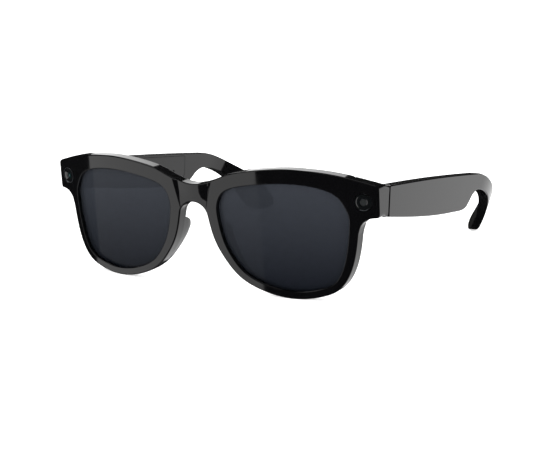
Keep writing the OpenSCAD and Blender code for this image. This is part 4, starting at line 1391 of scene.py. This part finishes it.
class GLASSES_OT_speaker_mesh(bpy.types.Operator):
    """Lays the wire mesh in front of each speaker"""
    bl_idname = "glasses.speaker_mesh"
    bl_label = "Speaker mesh"

    def execute(self, context):
        s = sizes()
        tree = mesh_tree()
        speaker_y, speaker_z = speaker_corner(s)
        place = Matrix.Translation((0.1 - s.arm_t + s.cover_t, speaker_y + s.speaker_l / 2, speaker_z))
        for side, mirrored in SIDES:
            node = "speaker_grille_" + side
            piece = made_plain(node + "_visual", tree, stainless_steel(),
                               {"Length": (s.speaker_l - 2) * MM}, arm_matrix(s) @ place, mirrored)
            mounted(piece, side + "_temple", "mesh_grey", stainless_steel(), node)
        return {"FINISHED"}


class GLASSES_OT_screws(bpy.types.Operator):
    """Puts the screws in the hinges' leaves and brackets"""
    bl_idname = "glasses.screws"
    bl_label = "Screws"

    def execute(self, context):
        s = sizes()
        tree = screw_tree()
        hinge_z = -s.butt_h / 2
        leaf = (arm_matrix(s) @ Matrix.Translation((-s.arm_t - 0.12, 5.7, hinge_z))
                @ Matrix.Rotation(-math.pi / 2, 4, "Y") @ Matrix.Rotation(math.pi / 2, 4, "Z"))
        bracket = (gap_matrix(s) @ Matrix.Translation((-s.wall - 1.3, -s.gap - 0.09, hinge_z))
                   @ Matrix.Rotation(-math.pi / 2, 4, "X") @ Matrix.Rotation(math.pi / 2, 4, "Z"))
        for side, mirrored in SIDES:
            for stem, place, body, spacing, shank in (("leaf_screws_", leaf, side + "_temple", 3.4, 2.6),
                                                      ("bracket_screws_", bracket, "frame", 5.2, 2.4)):
                values = {"Spacing": spacing * MM, "Shank": shank * MM}
                name = stem + side + "_visual"
                piece = made_plain(name, tree, stainless_steel(), values, place, mirrored)
                mounted(piece, body, "steel", stainless_steel(), stem + side)
        return {"FINISHED"}


NODE_FINISHES = {
    "camera_barrel": barrel_black, "camera_module": sensor_alloy, "indicator_board": solder_mask,
    "charge_port": satin_nylon, "charge_contacts": gold_plating, "bridge_microphone": tin_plate,
    "front_flex": polyimide_film, "hinge": stainless_steel, "battery": cell_pouch,
    "charging_board": solder_mask, "speaker": sensor_alloy, "temple_microphone": tin_plate,
    "tip_core": stainless_steel, "power_switch": sensor_alloy,
    "main_board": solder_mask, "processor_shield": tin_plate, "touch_sensor": polyimide_film,
    "capture_switch": sensor_alloy,
}


class GLASSES_OT_inner_parts(bpy.types.Operator):
    """Gives each part that keeps its shape its own finish"""
    bl_idname = "glasses.inner_parts"
    bl_label = "Inner parts"

    def execute(self, context):
        for name, part in frame["nodes"].items():
            stems = [stem for stem in NODE_FINISHES if name.startswith(stem)]
            if not part.hide_render:
                material = NODE_FINISHES[max(stems, key=len)]()
                for place in part.material_slots:
                    place.material = material
        return {"FINISHED"}


CAMERA_AT = (0.26055, -0.42329, 0.12485)
CAMERA_ROLL = -1.94
TARGET = Vector((0.0360, -0.06956, 0.02811))
LAMP_FAR = 2.5
FLOOR_EDGE = 6.0


def softbox(name, azimuth, elevation, distance, size, radiance):
    """A rectangular lamp seen from the glasses at an azimuth from -Y towards +X, in degrees."""
    a, e = math.radians(azimuth), math.radians(elevation)
    away = Vector((math.sin(a) * math.cos(e), -math.cos(a) * math.cos(e), math.sin(e)))
    lamp = bpy.data.lights.new(name, "AREA")
    lamp.shape = "RECTANGLE"
    lamp.size, lamp.size_y = size
    lamp.energy = radiance * math.pi * size[0] * size[1]
    piece = bpy.data.objects.new(name, lamp)
    bpy.context.scene.collection.objects.link(piece)
    piece.location = TARGET + away * distance
    piece.rotation_euler = away.to_track_quat("Z", "Y").to_euler()
    piece.visible_camera = False
    return piece


class GLASSES_OT_stage(bpy.types.Operator):
    """Makes the camera, the lamps, the world and the pale floor"""
    bl_idname = "glasses.stage"
    bl_label = "Stage"

    def execute(self, context):
        lens_data = bpy.data.cameras.new("camera")
        lens_data.lens, lens_data.sensor_width = 78.74, 36
        lens_data.clip_start = 0.01
        camera = bpy.data.objects.new("camera", lens_data)
        context.scene.collection.objects.link(camera)
        camera.location = CAMERA_AT
        away = camera.location - TARGET
        roll = Matrix.Rotation(math.radians(CAMERA_ROLL), 4, "Z")
        camera.matrix_world = (Matrix.Translation(camera.location)
                               @ away.to_track_quat("Z", "Y").to_matrix().to_4x4() @ roll)
        context.scene.camera = camera
        context.scene.view_settings.view_transform = "Standard"
        softbox("front_softbox", -43.5, -12, LAMP_FAR, (1.86, 2.25), 1.2)
        side = softbox("side_softbox", 162, -26, LAMP_FAR, (3.1, 2.75), 1.15)
        top = softbox("top_softbox", -146, 16, LAMP_FAR, (0.96, 1.1), 1.6)
        edge_light = softbox("edge_softbox", -62, 52, LAMP_FAR, (1.3, 0.6), 2.2)
        softbox("overhead_softbox", 20, 80, 2.4, (1.4, 1.0), 1.0)
        for lamp in (side, top, edge_light):
            lamp.visible_diffuse = False
        stage_world(context.scene)
        floor = linked("floor", bpy.data.meshes.new("floor"))
        corners = [(x * FLOOR_EDGE, y * FLOOR_EDGE, 0) for x, y in ((-1, -1), (1, -1), (1, 1), (-1, 1))]
        floor.data.from_pydata(corners, [], [(0, 1, 2, 3)])
        floor.data.materials.append(floor_paint())
        floor.visible_glossy = False
        return {"FINISHED"}


def stage_world(scene):
    """A studio that is pale behind the glasses and dark in their reflections."""
    world = bpy.data.worlds.new("studio")
    world.use_nodes = True
    tree = world.node_tree
    tree.nodes.clear()
    path = add_node(tree, "ShaderNodeLightPath")
    strength = add_node(tree, "ShaderNodeMapRange", {"To Min": 1.5, "To Max": 0.03},
                        {"Value": path.outputs["Is Glossy Ray"]})
    back = add_node(tree, "ShaderNodeBackground", {"Color": (1, 1, 1, 1)},
                    {"Strength": strength.outputs["Result"]})
    add_node(tree, "ShaderNodeOutputWorld", links={"Surface": back.outputs["Background"]})
    scene.world = world


OPERATORS = [GLASSES_OT_front, GLASSES_OT_lenses, GLASSES_OT_nose_pads, GLASSES_OT_windows,
             GLASSES_OT_temples, GLASSES_OT_controls, GLASSES_OT_speaker_mesh, GLASSES_OT_screws,
             GLASSES_OT_inner_parts, GLASSES_OT_stage]


class GLASSES_PT_panel(bpy.types.Panel):
    """Lists the sizes, the colours and the steps"""
    bl_idname = "GLASSES_PT_panel"
    bl_label = "Smart glasses"
    bl_space_type = "VIEW_3D"
    bl_region_type = "UI"
    bl_category = "Glasses"

    def draw(self, context):
        scene = context.scene
        for group in (scene.glasses_front, scene.glasses_temple, scene.glasses_colours):
            for prop in group.bl_rna.properties:
                if prop.type == "FLOAT":
                    self.layout.prop(group, prop.identifier)
        for operator in OPERATORS:
            self.layout.operator(operator.bl_idname)


CLASSES = [FrontSizes, TempleSizes, Colours, *OPERATORS, GLASSES_PT_panel]


def register():
    for cls in CLASSES:
        bpy.utils.register_class(cls)
    bpy.types.Scene.glasses_front = PointerProperty(type=FrontSizes)
    bpy.types.Scene.glasses_temple = PointerProperty(type=TempleSizes)
    bpy.types.Scene.glasses_colours = PointerProperty(type=Colours)


def unregister():
    for name in ("glasses_front", "glasses_temple", "glasses_colours"):
        delattr(bpy.types.Scene, name)
    for cls in reversed(CLASSES):
        bpy.utils.unregister_class(cls)


def main():
    register()
    for operator in OPERATORS:
        group, name = operator.bl_idname.split(".")
        getattr(getattr(bpy.ops, group), name)()


if __name__ == "__main__":
    main()
